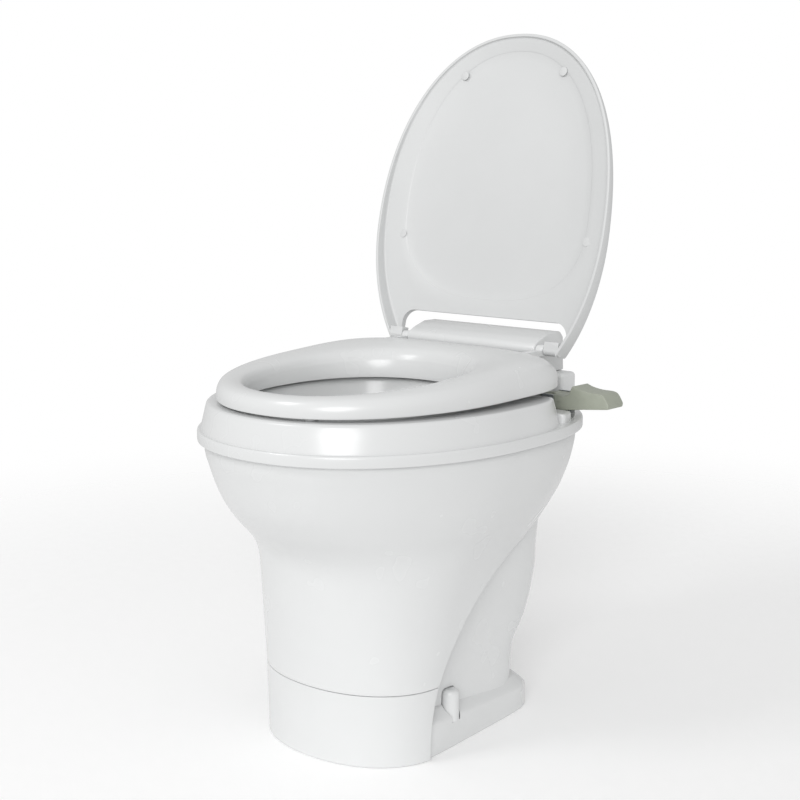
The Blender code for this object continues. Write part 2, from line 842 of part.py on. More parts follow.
def floor_bolt_places():
    for side in (1, -1):
        yield side * SIDE_BOLT_X, SIDE_BOLT_Y, SPOTFACE_Z
        yield side * FRONT_BOLT_X, BASE_FRONT_Y + FRONT_BOLT_INSET, FLOOR_PLATE


def make_pedestal():
    body = cut(shroud("shroud", 0, 0, PEDESTAL_HEIGHT), arch("arch", 0))
    body = join(body, column("column", 0, 0, COLUMN_HEIGHT), foot())
    upper = shroud(
        "upper_hollow",
        PEDESTAL_WALL,
        COVER_HEIGHT + SEAM + PEDESTAL_WALL,
        PEDESTAL_HEIGHT + OVERRUN,
    )
    lower = shroud(
        "lower_hollow",
        POCKET_DEPTH + PEDESTAL_WALL,
        FLOOR_PLATE,
        COVER_HEIGHT + SEAM + 2 * PEDESTAL_WALL,
    )
    hollow = cut(join(upper, lower), arch("inner_arch", PEDESTAL_WALL))
    hollow = join(
        hollow,
        column("column_hollow", LOWER_WALL, FLOOR_PLATE, LOWER_WALL_TOP),
        column(
            "upper_column_hollow", PEDESTAL_WALL, LOWER_WALL_TOP - SEAM, COLUMN_HEIGHT - OVERRUN
        ),
    )
    pocket_top = COVER_HEIGHT - PEDESTAL_WALL
    pocket_rear = COVER_REAR_Y - PEDESTAL_WALL / 2
    pocket = cover_space("pocket", POCKET_DEPTH, FLOOR_PLATE, pocket_top, pocket_rear)
    seat_rear = COVER_REAR_Y + SEAM
    seat_depth = COVER_WALL + SEAM
    seat_top = COVER_HEIGHT + SEAM
    cover_seat = cover_space("cover_seat", seat_depth, -OVERRUN, seat_top, seat_rear)
    body = cut(body, hollow, pocket, cover_seat)
    drain = (0, DRAIN_Y, -OVERRUN)
    body = cut(
        body,
        cylinder("drain_hole", FLOOR_SEAL_RADIUS + SEAM, drain, (0, DRAIN_Y, FLOOR_PLATE + OVERRUN)),
    )
    for x, y, seat_z in floor_bolt_places():
        shank = cylinder("shank", BOLT_RADIUS + SEAM, (x, y, -OVERRUN), (x, y, seat_z + OVERRUN))
        body = cut(body, shank)
    for side in (1, -1):
        x = side * SIDE_BOLT_X
        top = (x, SIDE_BOLT_Y, CAP_TOP_Z + CAP_DOME)
        body = cut(body, cylinder("cap_seat", CAP_RADIUS + SEAM, (x, SIDE_BOLT_Y, SPOTFACE_Z), top))
    inlet = cylinder(
        "inlet_hole",
        NIPPLE_RADIUS + NIPPLE_HOLE_GAP,
        (valve_middle_x(), CAM_Y, BALL_Z),
        (valve_middle_x(), NIPPLE_END_Y + OVERRUN, BALL_Z),
    )
    return finish(cut(body, inlet), "pedestal", WHITE)


def cover_space(name, depth, bottom, top, rear_y):
    """The space ahead of rear_y and outside an inset of the shroud, where the base cover sits."""
    ahead = box(name, (-SIDE_REACH, TOP_FRONT_Y, bottom), (SIDE_REACH, rear_y, top))
    return cut(ahead, shroud(name + "_core", depth, bottom - OVERRUN, top + OVERRUN))


def make_base_cover():
    body = shroud("cover", 0, SEAM, COVER_HEIGHT)
    core = shroud("cover_core", COVER_WALL, -OVERRUN, COVER_HEIGHT + OVERRUN)
    rear = box(
        "cover_rear",
        (-SIDE_REACH, COVER_REAR_Y, -OVERRUN),
        (SIDE_REACH, SIDE_REACH, COVER_HEIGHT + OVERRUN),
    )
    return finish(cut(body, core, rear), "base_cover", WHITE)


def make_floor_bolts():
    names = ("side_right", "front_right", "side_left", "front_left")
    for name, (x, y, seat_z) in zip(names, floor_bolt_places()):
        washer_z = seat_z + SEAM
        head_z = washer_z + WASHER_HEIGHT + SEAM
        washer = ring(
            "washer", WASHER_RADIUS, BOLT_RADIUS + SEAM, (x, y, washer_z), (0, 0, 1), WASHER_HEIGHT
        )
        finish(washer, "floor_washer_" + name, STEEL)
        head = cylinder(
            "head", BOLT_HEAD_RADIUS, (x, y, head_z), (x, y, head_z + BOLT_HEAD_HEIGHT), 6
        )
        shank = cylinder("shank", BOLT_RADIUS, (x, y, SEAM), (x, y, head_z + SEAM))
        finish(join(head, shank), "floor_bolt_" + name, STEEL)


def make_bolt_cap(name, side):
    bottom = SPOTFACE_Z + SEAM
    profile = [(CAP_RADIUS, CAP_TOP_Z - bottom - CAP_DOME), (CAP_RADIUS, 0)]
    profile += [(CAP_RADIUS - CAP_WALL, 0), (CAP_RADIUS - CAP_WALL, CAP_TOP_Z - bottom - CAP_DOME)]
    inner = CAP_RADIUS - CAP_WALL
    profile += dome(inner, CAP_DOME - CAP_WALL, CAP_TOP_Z - bottom - CAP_DOME)[1:]
    profile += reversed(dome(CAP_RADIUS, CAP_DOME, CAP_TOP_Z - bottom - CAP_DOME)[1:])
    x = side * SIDE_BOLT_X
    cap = turned("cap", profile, (x, SIDE_BOLT_Y, bottom), (0, 0, 1))
    return finish(cap, name, WHITE, (x, SIDE_BOLT_Y, bottom))


def dome(radius, rise, base, count=3):
    """Profile points from the edge of a dome to its top."""
    points = []
    for step in range(count + 1):
        angle = math.pi / 2 * step / count
        reach = 0 if step == count else radius * math.cos(angle)
        points.append((reach, base + rise * math.sin(angle)))
    return points


# Bowl

def bead_ring(z, inset):
    return egg(
        WIDEST_HALF_WIDTH,
        TOP_FRONT_REACH,
        TOP_REAR_REACH,
        WIDEST_Y,
        (FRONT_POWER, REAR_POWER),
        z,
        inset,
    )


def band_ring(z, inset):
    return egg(
        WIDEST_HALF_WIDTH,
        TOP_FRONT_REACH,
        BAND_REAR_REACH,
        WIDEST_Y,
        (FRONT_POWER, BAND_REAR_POWER),
        z,
        inset,
    )


def top_body(name, wall):
    """Bead, band, deck and platform as one body, drawn in by a wall on every side."""
    hollow = wall > 0
    low = BEAD_BOTTOM - LIP_DEPTH - OVERRUN if hollow else BEAD_BOTTOM
    side = PEDESTAL_STEP_IN + PEDESTAL_WALL + SEAM + LIP_WALL if hollow else 0
    round_in = 0 if hollow else BEAD_ROUND
    bead = loft(
        name,
        [
            bead_ring(low, side + round_in),
            bead_ring(BEAD_BOTTOM + BEAD_ROUND, side),
            bead_ring(BEAD_TOP - BEAD_ROUND - wall, side),
            bead_ring(BEAD_TOP - wall, side + round_in),
        ],
    )
    foot_inset = max(side, BAND_FOOT_INSET + wall)
    band = loft(
        name + "_band",
        [
            band_ring(BEAD_BOTTOM + BEAD_ROUND, foot_inset),
            band_ring(BEAD_TOP, foot_inset),
            band_ring(RIM_Z - BAND_EDGE - wall, BAND_TOP_INSET - BAND_EDGE / 2 + wall),
            band_ring(RIM_Z - wall, BAND_TOP_INSET + BAND_EDGE + wall),
        ],
    )
    band_end = box(
        name + "_band_end",
        (-SIDE_REACH, NOTCH_Y - wall, BEAD_BOTTOM - OVERRUN),
        (SIDE_REACH, SIDE_REACH, RIM_Z + OVERRUN),
    )
    deck = loft(
        name + "_deck",
        [
            bead_ring(BEAD_BOTTOM + BEAD_ROUND, max(side, DECK_INSET + wall)),
            bead_ring(DECK_Z - BEAD_ROUND - wall, DECK_INSET + wall),
            bead_ring(DECK_Z - wall, DECK_INSET + BEAD_ROUND + wall),
        ],
    )
    deck_front = box(
        name + "_deck_front",
        (-SIDE_REACH, -SIDE_REACH - OVERRUN, BEAD_BOTTOM - OVERRUN),
        (SIDE_REACH, NOTCH_Y - OVERRUN, RIM_Z + OVERRUN),
    )
    corners = (
        (-PLATFORM_HALF_WIDTH + wall, PLATFORM_FRONT_Y + wall, BEAD_TOP - BEAD_ROUND - wall),
        (PLATFORM_HALF_WIDTH - wall, PLATFORM_REAR_Y - wall, PLATFORM_Z - wall),
    )
    if hollow:
        platform = box(name + "_platform", *corners)
    else:
        platform = soft_box(name + "_platform", *corners, PLATFORM_EDGE)
    return join(bead, cut(band, band_end), cut(deck, deck_front), platform)


def lip():
    side = PEDESTAL_STEP_IN + PEDESTAL_WALL + SEAM
    bottom = BEAD_BOTTOM - LIP_DEPTH
    return loft("lip", [bead_ring(z, side) for z in (bottom, BEAD_BOTTOM + BEAD_ROUND)])


def basin_ring(z, inset):
    share = (RIM_Z - z) / (RIM_Z - OUTLET_TOP)
    _, width, front, shift, rear = row_at(BASIN_SHARES, share)
    moved = shift * (DRAIN_Y - MOUTH_Y)
    return egg(
        width * MOUTH_HALF_WIDTH,
        front * MOUTH_FRONT_REACH + moved,
        rear * MOUTH_REAR_REACH - moved,
        MOUTH_Y + moved,
        (BASIN_FRONT_POWER, BASIN_REAR_POWER),
        z,
        inset,
    )


def basin(name, inset, top, bottom):
    depths = [row[0] for row in BASIN_SHARES][1:]
    rings = [basin_ring(top, inset)]
    rings += [basin_ring(RIM_Z - depth * (RIM_Z - OUTLET_TOP), inset) for depth in depths]
    rings.append(circle(OUTLET_RADIUS - inset, DRAIN_Y, OUTLET_TOP))
    rings.append(circle(OUTLET_RADIUS - inset, DRAIN_Y, bottom))
    return loft(name, rings[::-1])


def make_bowl():
    body = cut(join(top_body("top", 0), lip()), top_body("top_hollow", BOWL_WALL))
    flange = cylinder(
        "flange",
        FLANGE_RADIUS,
        (0, DRAIN_Y, FLANGE_BOTTOM),
        (0, DRAIN_Y, FLANGE_BOTTOM + FLANGE_THICKNESS),
        RING_POINTS,
    )
    neck = cylinder(
        "neck",
        OUTLET_RADIUS + OUTLET_WALL,
        (0, DRAIN_Y, OUTLET_BOTTOM),
        (0, DRAIN_Y, FLANGE_BOTTOM + FLANGE_THICKNESS + OUTLET_DEPTH / 2),
        RING_POINTS,
    )
    outer = basin("basin", -BASIN_WALL, RIM_Z - BOWL_WALL / 2, OUTLET_TOP - OUTLET_DEPTH)
    body = join(body, outer, flange, neck)
    mouth = loft(
        "mouth",
        [
            basin_ring(RIM_Z - MOUTH_EDGE - SEAM, 0),
            basin_ring(RIM_Z - MOUTH_EDGE, 0),
            basin_ring(RIM_Z, -MOUTH_EDGE),
            basin_ring(RIM_Z + OVERRUN, -MOUTH_EDGE - OVERRUN),
        ],
    )
    water = basin("water", 0, RIM_Z - MOUTH_EDGE, OUTLET_BOTTOM - OVERRUN)
    body = cut(body, water, mouth)
    body = cut(
        body,
        box(
            "channel",
            (CHANNEL_INNER_X, LEVER_Y - CHANNEL_HALF_DEPTH, BEAD_TOP + SEAM),
            (SIDE_REACH, LEVER_Y + CHANNEL_HALF_DEPTH, DECK_Z + OVERRUN),
        ),
        cylinder(
            "nozzle_hole",
            NOZZLE_BORE + SEAM,
            (NOZZLE_X, nozzle_y() - OVERRUN - BASIN_WALL, nozzle_z()),
            (NOZZLE_X, nozzle_y() + OVERRUN, nozzle_z()),
        ),
    )
    for side in (1, -1):
        x = side * HINGE_BOLT_X
        low = (x, HINGE_BOLT_Y, PLATFORM_Z - HINGE_BOLT_REACH)
        high = (x, HINGE_BOLT_Y, PLATFORM_Z + OVERRUN)
        body = cut(body, cylinder("bolt_hole", HINGE_BOLT_RADIUS + SEAM, low, high))
    for x, y in flange_screw_places():
        low = (x, y, FLANGE_BOTTOM - OVERRUN)
        high = (x, y, FLANGE_BOTTOM + FLANGE_THICKNESS + OVERRUN)
        body = cut(body, cylinder("screw_hole", SCREW_RADIUS + SEAM, low, high, SCREW_POINTS))
    return finish(body, "bowl", WHITE)


def flange_screw_places():
    for step in range(FLANGE_SCREWS):
        angle = 2 * math.pi * (step + 1 / 2) / FLANGE_SCREWS
        x = FLANGE_SCREW_CIRCLE * math.cos(angle)
        yield x, DRAIN_Y + FLANGE_SCREW_CIRCLE * math.sin(angle)


def nozzle_z():
    return RIM_Z - NOZZLE_DROP


def nozzle_y():
    """Where the basin's outer face stands behind the nozzle."""
    rear = [p for p in basin_ring(nozzle_z() + NOZZLE_RADIUS, -BASIN_WALL) if p.y > MOUTH_Y]
    return max(point.y for point in rear) + SEAM


# Waste valve

def along_y(name, radius, start_y, end_y, x=0, z=BALL_Z, points=ROUND_POINTS):
    return cylinder(name, radius, (x, start_y, z), (x, end_y, z), points)


def sphere(name, radius):
    builder = bmesh.new()
    bmesh.ops.create_uvsphere(
        builder, u_segments=SPHERE_POINTS, v_segments=SPHERE_POINTS // 2, radius=radius
    )
    bmesh.ops.translate(builder, vec=(0, DRAIN_Y, BALL_Z), verts=builder.verts)
    return from_builder(name, builder)


def upright(name, radius, low, high, y=DRAIN_Y, points=ROUND_POINTS):
    return cylinder(name, radius, (0, y, low), (0, y, high), points)


def make_valve_housing():
    inner = BALL_RADIUS + HOUSING_GAP
    front_y = DRAIN_Y - COVER_PLATE_Y
    body = join(
        sphere("housing", inner + HOUSING_WALL),
        upright("top_neck", SEAL_RADIUS + FLANGE_THICKNESS, BALL_Z + SEAL_LIFT / 2, HOUSING_TOP),
        upright("flange", FLANGE_RADIUS, HOUSING_TOP - FLANGE_THICKNESS, HOUSING_TOP),
        upright("drain_neck", NECK_RADIUS, NECK_BOTTOM_Z, BALL_Z - SEAL_LIFT / 2),
        along_y("boss", BOSS_RADIUS, DRAIN_Y + BALL_RADIUS, DRAIN_Y + BOSS_REACH),
        along_y("front_flange", COVER_PLATE_RADIUS, front_y - OVERRUN, front_y + FLANGE_THICKNESS),
    )
    ahead = box(
        "ahead",
        (-SIDE_REACH, -SIDE_REACH, -OVERRUN),
        (SIDE_REACH, front_y, HOUSING_TOP + OVERRUN),
    )
    body = cut(
        body,
        ahead,
        sphere("chamber", inner),
        upright(
            "seal_bore",
            SEAL_RADIUS + SEAM,
            SEAL_BOTTOM - SEAM,
            HOUSING_TOP + OVERRUN,
            points=RING_POINTS,
        ),
        upright("drain_bore", NECK_RADIUS - HOUSING_WALL, NECK_BOTTOM_Z - OVERRUN, BALL_Z - SEAL_LIFT),
        along_y("shaft_bore", BUSH_RADIUS + SEAM, DRAIN_Y, DRAIN_Y + BOSS_REACH + OVERRUN),
        along_y("front_opening", FRONT_OPENING_RADIUS, front_y - OVERRUN, DRAIN_Y),
    )
    for x, y in flange_screw_places():
        low = HOUSING_TOP - FLANGE_THICKNESS - OVERRUN
        high = HOUSING_TOP + OVERRUN
        hole = cylinder("screw_hole", SCREW_RADIUS + SEAM, (x, y, low), (x, y, high), SCREW_POINTS)
        body = cut(body, hole)
    return finish(body, "valve_housing", DARK_PLASTIC)


def make_housing_cover():
    inner_y = DRAIN_Y - COVER_PLATE_Y - SEAM
    outer_y = inner_y - COVER_PLATE_THICKNESS
    end_y = outer_y - FRONT_BOSS_REACH
    body = join(
        along_y("cover", COVER_PLATE_RADIUS, outer_y, inner_y, points=RING_POINTS),
        along_y("boss", BOSS_RADIUS, end_y, inner_y - SEAM),
    )
    bore = along_y("bore", BUSH_RADIUS + SEAM, end_y - OVERRUN, inner_y + OVERRUN)
    finish(cut(body, bore), "housing_front_plate", DARK_PLASTIC)
    bush = ring(
        "bush",
        BUSH_RADIUS,
        SHAFT_RADIUS + RUNNING,
        (0, end_y, BALL_Z),
        (0, 1, 0),
        COVER_PLATE_THICKNESS + FRONT_BOSS_REACH,
    )
    finish(bush, "bush_front", ACETAL)
    stub = along_y("stub", SHAFT_RADIUS, end_y + SEAM, DRAIN_Y - BALL_EAR_Y + BALL_EAR_THICKNESS / 2)
    finish(stub, "pivot_stub", STEEL, (0, DRAIN_Y, BALL_Z))


def make_rear_bush():
    end_y = DRAIN_Y + BOSS_REACH
    bush = ring(
        "bush",
        BUSH_RADIUS,
        SHAFT_RADIUS + RUNNING,
        (0, end_y - BUSH_LENGTH, BALL_Z),
        (0, 1, 0),
        BUSH_LENGTH,
    )
    return finish(bush, "bush_rear", ACETAL)


def make_flush_ball():
    profile = []
    steps = BALL_STEPS
    for step in range(steps + 1):
        angle = BALL_HALF_ANGLE * (1 - step / steps)
        profile.append((BALL_RADIUS * math.sin(angle), BALL_RADIUS * math.cos(angle)))
    inner = BALL_RADIUS - BALL_WALL
    for step in range(steps + 1):
        angle = BALL_HALF_ANGLE * step / steps
        profile.append((inner * math.sin(angle), inner * math.cos(angle)))
    cap = turned("cap", profile[::-1], (0, DRAIN_Y, BALL_Z), (0, 0, 1), RING_POINTS)
    half = BALL_EAR_THICKNESS / 2
    for side in (1, -1):
        middle = DRAIN_Y + side * BALL_EAR_Y
        ear = box(
            "ear",
            (-BALL_EAR_HALF_WIDTH, middle - half, BALL_Z),
            (BALL_EAR_HALF_WIDTH, middle + half, BALL_Z + BALL_RADIUS * math.cos(BALL_HALF_ANGLE)),
        )
        hub = along_y("hub", CRANK_HUB_RADIUS, middle - half - SEAM, middle + half + SEAM)
        cap = join(cap, ear, hub)
    for side in (1, -1):
        middle = DRAIN_Y + side * BALL_EAR_Y
        bore = along_y("bore", SHAFT_RADIUS + SEAM, middle - OVERRUN, middle + OVERRUN)
        cap = cut(cap, bore)
    return finish(cap, "flush_ball", ACETAL, (0, DRAIN_Y, BALL_Z))


def make_valve_seals():
    seal = ring(
        "seal",
        SEAL_RADIUS,
        OUTLET_RADIUS + SEAM,
        (0, DRAIN_Y, SEAL_BOTTOM),
        (0, 0, 1),
        SEAL_HEIGHT,
        RING_POINTS,
    )
    finish(seal, "ball_seal", RUBBER)
    gasket = ring(
        "gasket",
        FLANGE_SCREW_CIRCLE - SCREW_HEAD_RADIUS,
        SEAL_RADIUS + SEAM,
        (0, DRAIN_Y, HOUSING_TOP + SEAM),
        (0, 0, 1),
        GASKET_HEIGHT,
        RING_POINTS,
    )
    finish(gasket, "outlet_gasket", RUBBER)
    floor_seal = ring(
        "floor_seal", FLOOR_SEAL_RADIUS, FLOOR_SEAL_BORE, (0, DRAIN_Y, SEAM), (0, 0, 1), FLOOR_PLATE - SEAM
    )
    finish(floor_seal, "floor_seal", RUBBER)


def make_drain_pipe():
    bottom = FLOOR_PLATE + SEAM
    body = join(
        upright("pipe", PIPE_RADIUS, bottom, PIPE_TOP_Z),
        upright("pipe_flange", PIPE_FLANGE_RADIUS, bottom, bottom + PIPE_FLANGE_THICKNESS),
    )
    bore = upright("pipe_bore", PIPE_RADIUS - PIPE_WALL, -OVERRUN, PIPE_TOP_Z + OVERRUN)
    return finish(cut(body, bore), "drain_pipe", DARK_PLASTIC)


def make_housing_screws():
    for count, (x, y) in enumerate(flange_screw_places(), start=1):
        seat_z = HOUSING_TOP - FLANGE_THICKNESS - SEAM
        head = cylinder(
            "head", SCREW_HEAD_RADIUS, (x, y, seat_z - SCREW_HEAD_HEIGHT), (x, y, seat_z), SCREW_POINTS
        )
        shank = cylinder(
            "shank", SCREW_RADIUS, (x, y, seat_z - SEAM), (x, y, seat_z + SCREW_LENGTH), SCREW_POINTS
        )
        finish(join(head, shank), "housing_screw_%d" % count, STEEL)


def make_drive_shaft():
    start_y = DRAIN_Y + BALL_EAR_Y - BALL_EAR_THICKNESS / 2
    shaft = along_y("shaft", SHAFT_RADIUS, start_y, SHAFT_END_Y)
    return finish(shaft, "drive_shaft", STEEL, (0, DRAIN_Y, BALL_Z))


def make_return_spring():
    """A coil round the shaft whose first leg lies on the boss and whose last one points up."""
    start_y = DRAIN_Y + BOSS_REACH + SPRING_WIRE + SEAM
    points = [(SPRING_RADIUS, start_y, BALL_Z - SPRING_LEG)]
    count = SPRING_TURNS * SPRING_POINTS_PER_TURN
    for step in range(count + 1):
        angle = 2 * math.pi * step / SPRING_POINTS_PER_TURN
        x = SPRING_RADIUS * math.cos(angle)
        z = BALL_Z + SPRING_RADIUS * math.sin(angle)
        points.append((x, start_y + SPRING_PITCH * step / SPRING_POINTS_PER_TURN, z))
    points.append((SPRING_RADIUS, start_y + SPRING_PITCH * SPRING_TURNS, BALL_Z + SPRING_LEG))
    return finish(tube("spring", points, SPRING_WIRE, 1), "return_spring", STEEL)


def cam_radius(angle):
    """Radius at an angle from +X towards +Z, for the cam at rest."""
    back = (math.pi - angle) % (2 * math.pi)
    rate = CAM_LIFT / (math.pi / 2)
    top = CAM_LOW_RADIUS + rate * math.radians(CAM_RISE_DEGREES)
    if back <= math.radians(CAM_RISE_DEGREES):
        return CAM_LOW_RADIUS + rate * back
    fall = (back - math.radians(CAM_RISE_DEGREES)) / math.radians(CAM_FALL_DEGREES)
    return blend(top, CAM_LOW_RADIUS, fall)


def cam_reach():
    """How far the cam stands out towards the plunger at rest."""
    steps = 200
    angles = [math.pi / 2 + math.pi * step / steps for step in range(steps + 1)]
    return max(-cam_radius(angle) * math.cos(angle) for angle in angles)


def make_cam():
    outline = []
    for step in range(CAM_POINTS):
        angle = 2 * math.pi * step / CAM_POINTS
        radius = cam_radius(angle)
        outline.append((radius * math.cos(angle), BALL_Z + radius * math.sin(angle)))
    body = plate("cam", outline, CAM_Y, CAM_Y + CAM_THICKNESS)
    bore = along_y("bore", SHAFT_RADIUS + SEAM, CAM_Y - OVERRUN, CAM_Y + CAM_THICKNESS + OVERRUN)
    return finish(cut(body, bore), "valve_cam", ACETAL, (0, DRAIN_Y, BALL_Z))


def make_crank():
    outline = link_outline(
        (0, BALL_Z), CRANK_HUB_RADIUS, (CRANK_PIN_X, CRANK_PIN_Z), CRANK_END_RADIUS
    )
    body = plate("crank", outline, CRANK_Y, CRANK_Y + CRANK_THICKNESS)
    bore = along_y("bore", SHAFT_RADIUS + SEAM, CRANK_Y - OVERRUN, SHAFT_END_Y + OVERRUN)
    pin_start = CRANK_Y + CRANK_THICKNESS / 2
    pin_end = CRANK_Y + CRANK_THICKNESS + CRANK_PIN_LENGTH
    pin = along_y("pin", CRANK_PIN_RADIUS, pin_start, pin_end, CRANK_PIN_X, CRANK_PIN_Z)
    return finish(join(cut(body, bore), pin), "crank", STEEL, (0, DRAIN_Y, BALL_Z))


# Lever works

def eye(name, low_x, high_x, z, radius, low_y, high_y):
    return plate(name, link_outline((low_x, z), radius, (high_x, z), radius), low_y, high_y)


def make_link_rod():
    front = ROD_Y
    rear = ROD_Y + ROD_THICKNESS
    low_radius = CRANK_PIN_RADIUS + CRANK_SLACK
    high_radius = ARM_PIN_RADIUS + ROD_EYE_SLACK
    low_x = (CRANK_PIN_X, CRANK_RADIUS)
    high_x = (ROD_X, ARM_PIN_X)
    body = join(
        box(
            "rod",
            (ROD_X - ROD_HALF_WIDTH, front + SEAM, CRANK_PIN_Z),
            (ROD_X + ROD_HALF_WIDTH, rear - SEAM, ARM_PIN_Z),
        ),
        eye("low_eye", *low_x, CRANK_PIN_Z, low_radius + ROD_EYE_WALL, front, rear),
        eye("high_eye", *high_x, ARM_PIN_Z, high_radius + ROD_EYE_WALL, front, rear),
    )
    body = cut(
        body,
        eye("low_slot", *low_x, CRANK_PIN_Z, low_radius, front - OVERRUN, rear + OVERRUN),
        eye("high_slot", *high_x, ARM_PIN_Z, high_radius, front - OVERRUN, rear + OVERRUN),
    )
    return finish(body, "link_rod", ACETAL, (ROD_X, ROD_Y, ARM_PIN_Z))


def make_hand_lever():
    reach = LEVER_TIP_X - PIVOT_X
    outline = [
        (PIVOT_X + along * reach, PIVOT_Z + up * LEVER_TIP_RISE)
        for along, up in LEVER_OUTLINE_SHARES
    ]
    blade = plate("blade", outline[::-1], LEVER_Y - LEVER_HALF_DEPTH, LEVER_Y + LEVER_HALF_DEPTH)
    blade = soften(blade, LEVER_EDGE, math.radians(50))
    arm_outline = link_outline(
        (PIVOT_X, PIVOT_Z),
        LEVER_HUB_RADIUS,
        (ARM_PIN_X, ARM_PIN_Z),
        ARM_PIN_RADIUS + ARM_HALF_HEIGHT,
    )
    arm = plate("arm", arm_outline, ARM_Y, ARM_Y + ARM_DEPTH)
    pin = along_y(
        "arm_pin", ARM_PIN_RADIUS, ROD_Y - ARM_GAP, ARM_Y + ARM_DEPTH / 2, ARM_PIN_X, ARM_PIN_Z
    )
    bore = along_y(
        "bore",
        LEVER_PIN_RADIUS + RUNNING,
        LEVER_Y - LEVER_HALF_DEPTH - OVERRUN,
        LEVER_Y + LEVER_HALF_DEPTH + OVERRUN,
        PIVOT_X,
        PIVOT_Z,
    )
    body = cut(join(blade, arm, pin), bore)
    return finish(body, "hand_lever", LEVER_GREY, (PIVOT_X, LEVER_Y, PIVOT_Z))


def cheek_y():
    """Inner face of each bracket cheek, from the lever's middle."""
    return LEVER_HALF_DEPTH + BRACKET_GAP


def make_lever_bracket():
    inner = cheek_y()
    outer = inner + BRACKET_WALL
    low_x = PIVOT_X - BRACKET_HALF_WIDTH
    high_x = PIVOT_X + BRACKET_HALF_WIDTH
    bottom = PIVOT_Z - BRACKET_DROP
    top = PIVOT_Z + BRACKET_TOP
    body = box("bracket", (low_x, LEVER_Y - outer, bottom), (high_x, LEVER_Y + outer, top))
    space = box(
        "space",
        (low_x - OVERRUN, LEVER_Y - inner, bottom + BRACKET_WALL),
        (high_x + OVERRUN, LEVER_Y + inner, top + OVERRUN),
    )
    body = cut(body, space)
    for side in (1, -1):
        ys = sorted((LEVER_Y + side * (inner + SEAM), LEVER_Y + side * (outer + BRACKET_FLANGE)))
        flange = box(
            "flange",
            (low_x + SEAM, ys[0], DECK_Z + SEAM),
            (high_x - SEAM, ys[1], DECK_Z + SEAM + BRACKET_WALL),
        )
        body = join(body, flange)
    bore = along_y(
        "bore",
        LEVER_PIN_RADIUS + SEAM,
        LEVER_Y - outer - OVERRUN,
        LEVER_Y + outer + OVERRUN,
        PIVOT_X,
        PIVOT_Z,
    )
    return finish(cut(body, bore), "lever_bracket", STEEL)


def make_lever_pin():
    outer = cheek_y() + BRACKET_WALL
    front = LEVER_Y - outer - SEAM
    shank = along_y(
        "shank", LEVER_PIN_RADIUS, front - SEAM, LEVER_Y + outer + SEAM, PIVOT_X, PIVOT_Z
    )
    head = along_y("head", LEVER_PIN_HEAD, front - LEVER_PIN_HEAD_LENGTH, front, PIVOT_X, PIVOT_Z)
    return finish(join(shank, head), "lever_pin", STEEL)


# Water works

def plunger_face_x():
    return -(cam_reach() + SEAM)


def valve_start_x():
    return plunger_face_x() - PLUNGER_HEAD_THICKNESS - CAM_LIFT - 3 * SEAM


def valve_middle_x():
    return valve_start_x() - VALVE_LENGTH / 2


def valve_y():
    return CAM_Y + CAM_THICKNESS / 2


def along_x(name, radius, low_x, high_x, y, z, points=ROUND_POINTS):
    return cylinder(name, radius, (low_x, y, z), (high_x, y, z), points)


def make_water_valve():
    start = valve_start_x()
    end = start - VALVE_LENGTH
    middle = valve_middle_x()
    y = valve_y()
    body = along_x("valve", VALVE_RADIUS, end, start, y, BALL_Z)
    barb_top = BALL_Z + VALVE_RADIUS + BARB_LENGTH
    barb = cylinder("barb", BARB_RADIUS, (middle, y, BALL_Z), (middle, y, barb_top), SCREW_POINTS)
    inlet_end = y + VALVE_RADIUS + VALVE_WALL
    inlet = cylinder(
        "inlet", NIPPLE_RADIUS + VALVE_WALL, (middle, y, BALL_Z), (middle, inlet_end, BALL_Z)
    )
    strap = box(
        "strap",
        (end + VALVE_WALL, DRAIN_Y, BALL_Z - VALVE_STRAP),
        (end + VALVE_WALL + 2 * VALVE_STRAP, y, BALL_Z + VALVE_STRAP),
    )
    clear = sphere("clear", BALL_RADIUS + HOUSING_GAP + HOUSING_WALL + SEAM)
    body = join(body, barb, inlet, cut(strap, clear))
    deep = start - PLUNGER_DEPTH - CAM_LIFT - 3 * SEAM
    bore = along_x("bore", PLUNGER_RADIUS + RUNNING, deep, start + OVERRUN, y, BALL_Z)
    water = cylinder(
        "water",
        NIPPLE_BORE,
        (middle, inlet_end - VALVE_WALL, BALL_Z),
        (middle, inlet_end + OVERRUN, BALL_Z),
        SCREW_POINTS,
    )
    return finish(cut(body, bore, water), "water_valve", DARK_PLASTIC)


def make_plunger():
    face = plunger_face_x()
    y = valve_y()
    head = along_x("head", PLUNGER_HEAD_RADIUS, face - PLUNGER_HEAD_THICKNESS, face, y, BALL_Z)
    stem_end = valve_start_x() - PLUNGER_DEPTH
    stem = along_x("stem", PLUNGER_RADIUS, stem_end, face - SEAM, y, BALL_Z)
    return finish(join(head, stem), "valve_plunger", BRASS, (face, y, BALL_Z))


def make_inlet_nipple():
    x = valve_middle_x()
    start = valve_y() + VALVE_RADIUS + VALVE_WALL + SEAM
    hexagon = cylinder(
        "hexagon", NIPPLE_HEX_RADIUS, (x, start, BALL_Z), (x, start + NIPPLE_HEX_LENGTH, BALL_Z), 6
    )
    thread = cylinder(
        "thread", NIPPLE_RADIUS, (x, start + SEAM, BALL_Z), (x, NIPPLE_END_Y, BALL_Z)
    )
    bore = cylinder(
        "bore", NIPPLE_BORE, (x, start - OVERRUN, BALL_Z), (x, NIPPLE_END_Y + OVERRUN, BALL_Z)
    )
    return finish(cut(join(hexagon, thread), bore), "inlet_nipple", BRASS)


def breaker_bottom():
    return DECK_Z - BOWL_WALL - SEAM - BREAKER_CAP_HEIGHT - BREAKER_HEIGHT


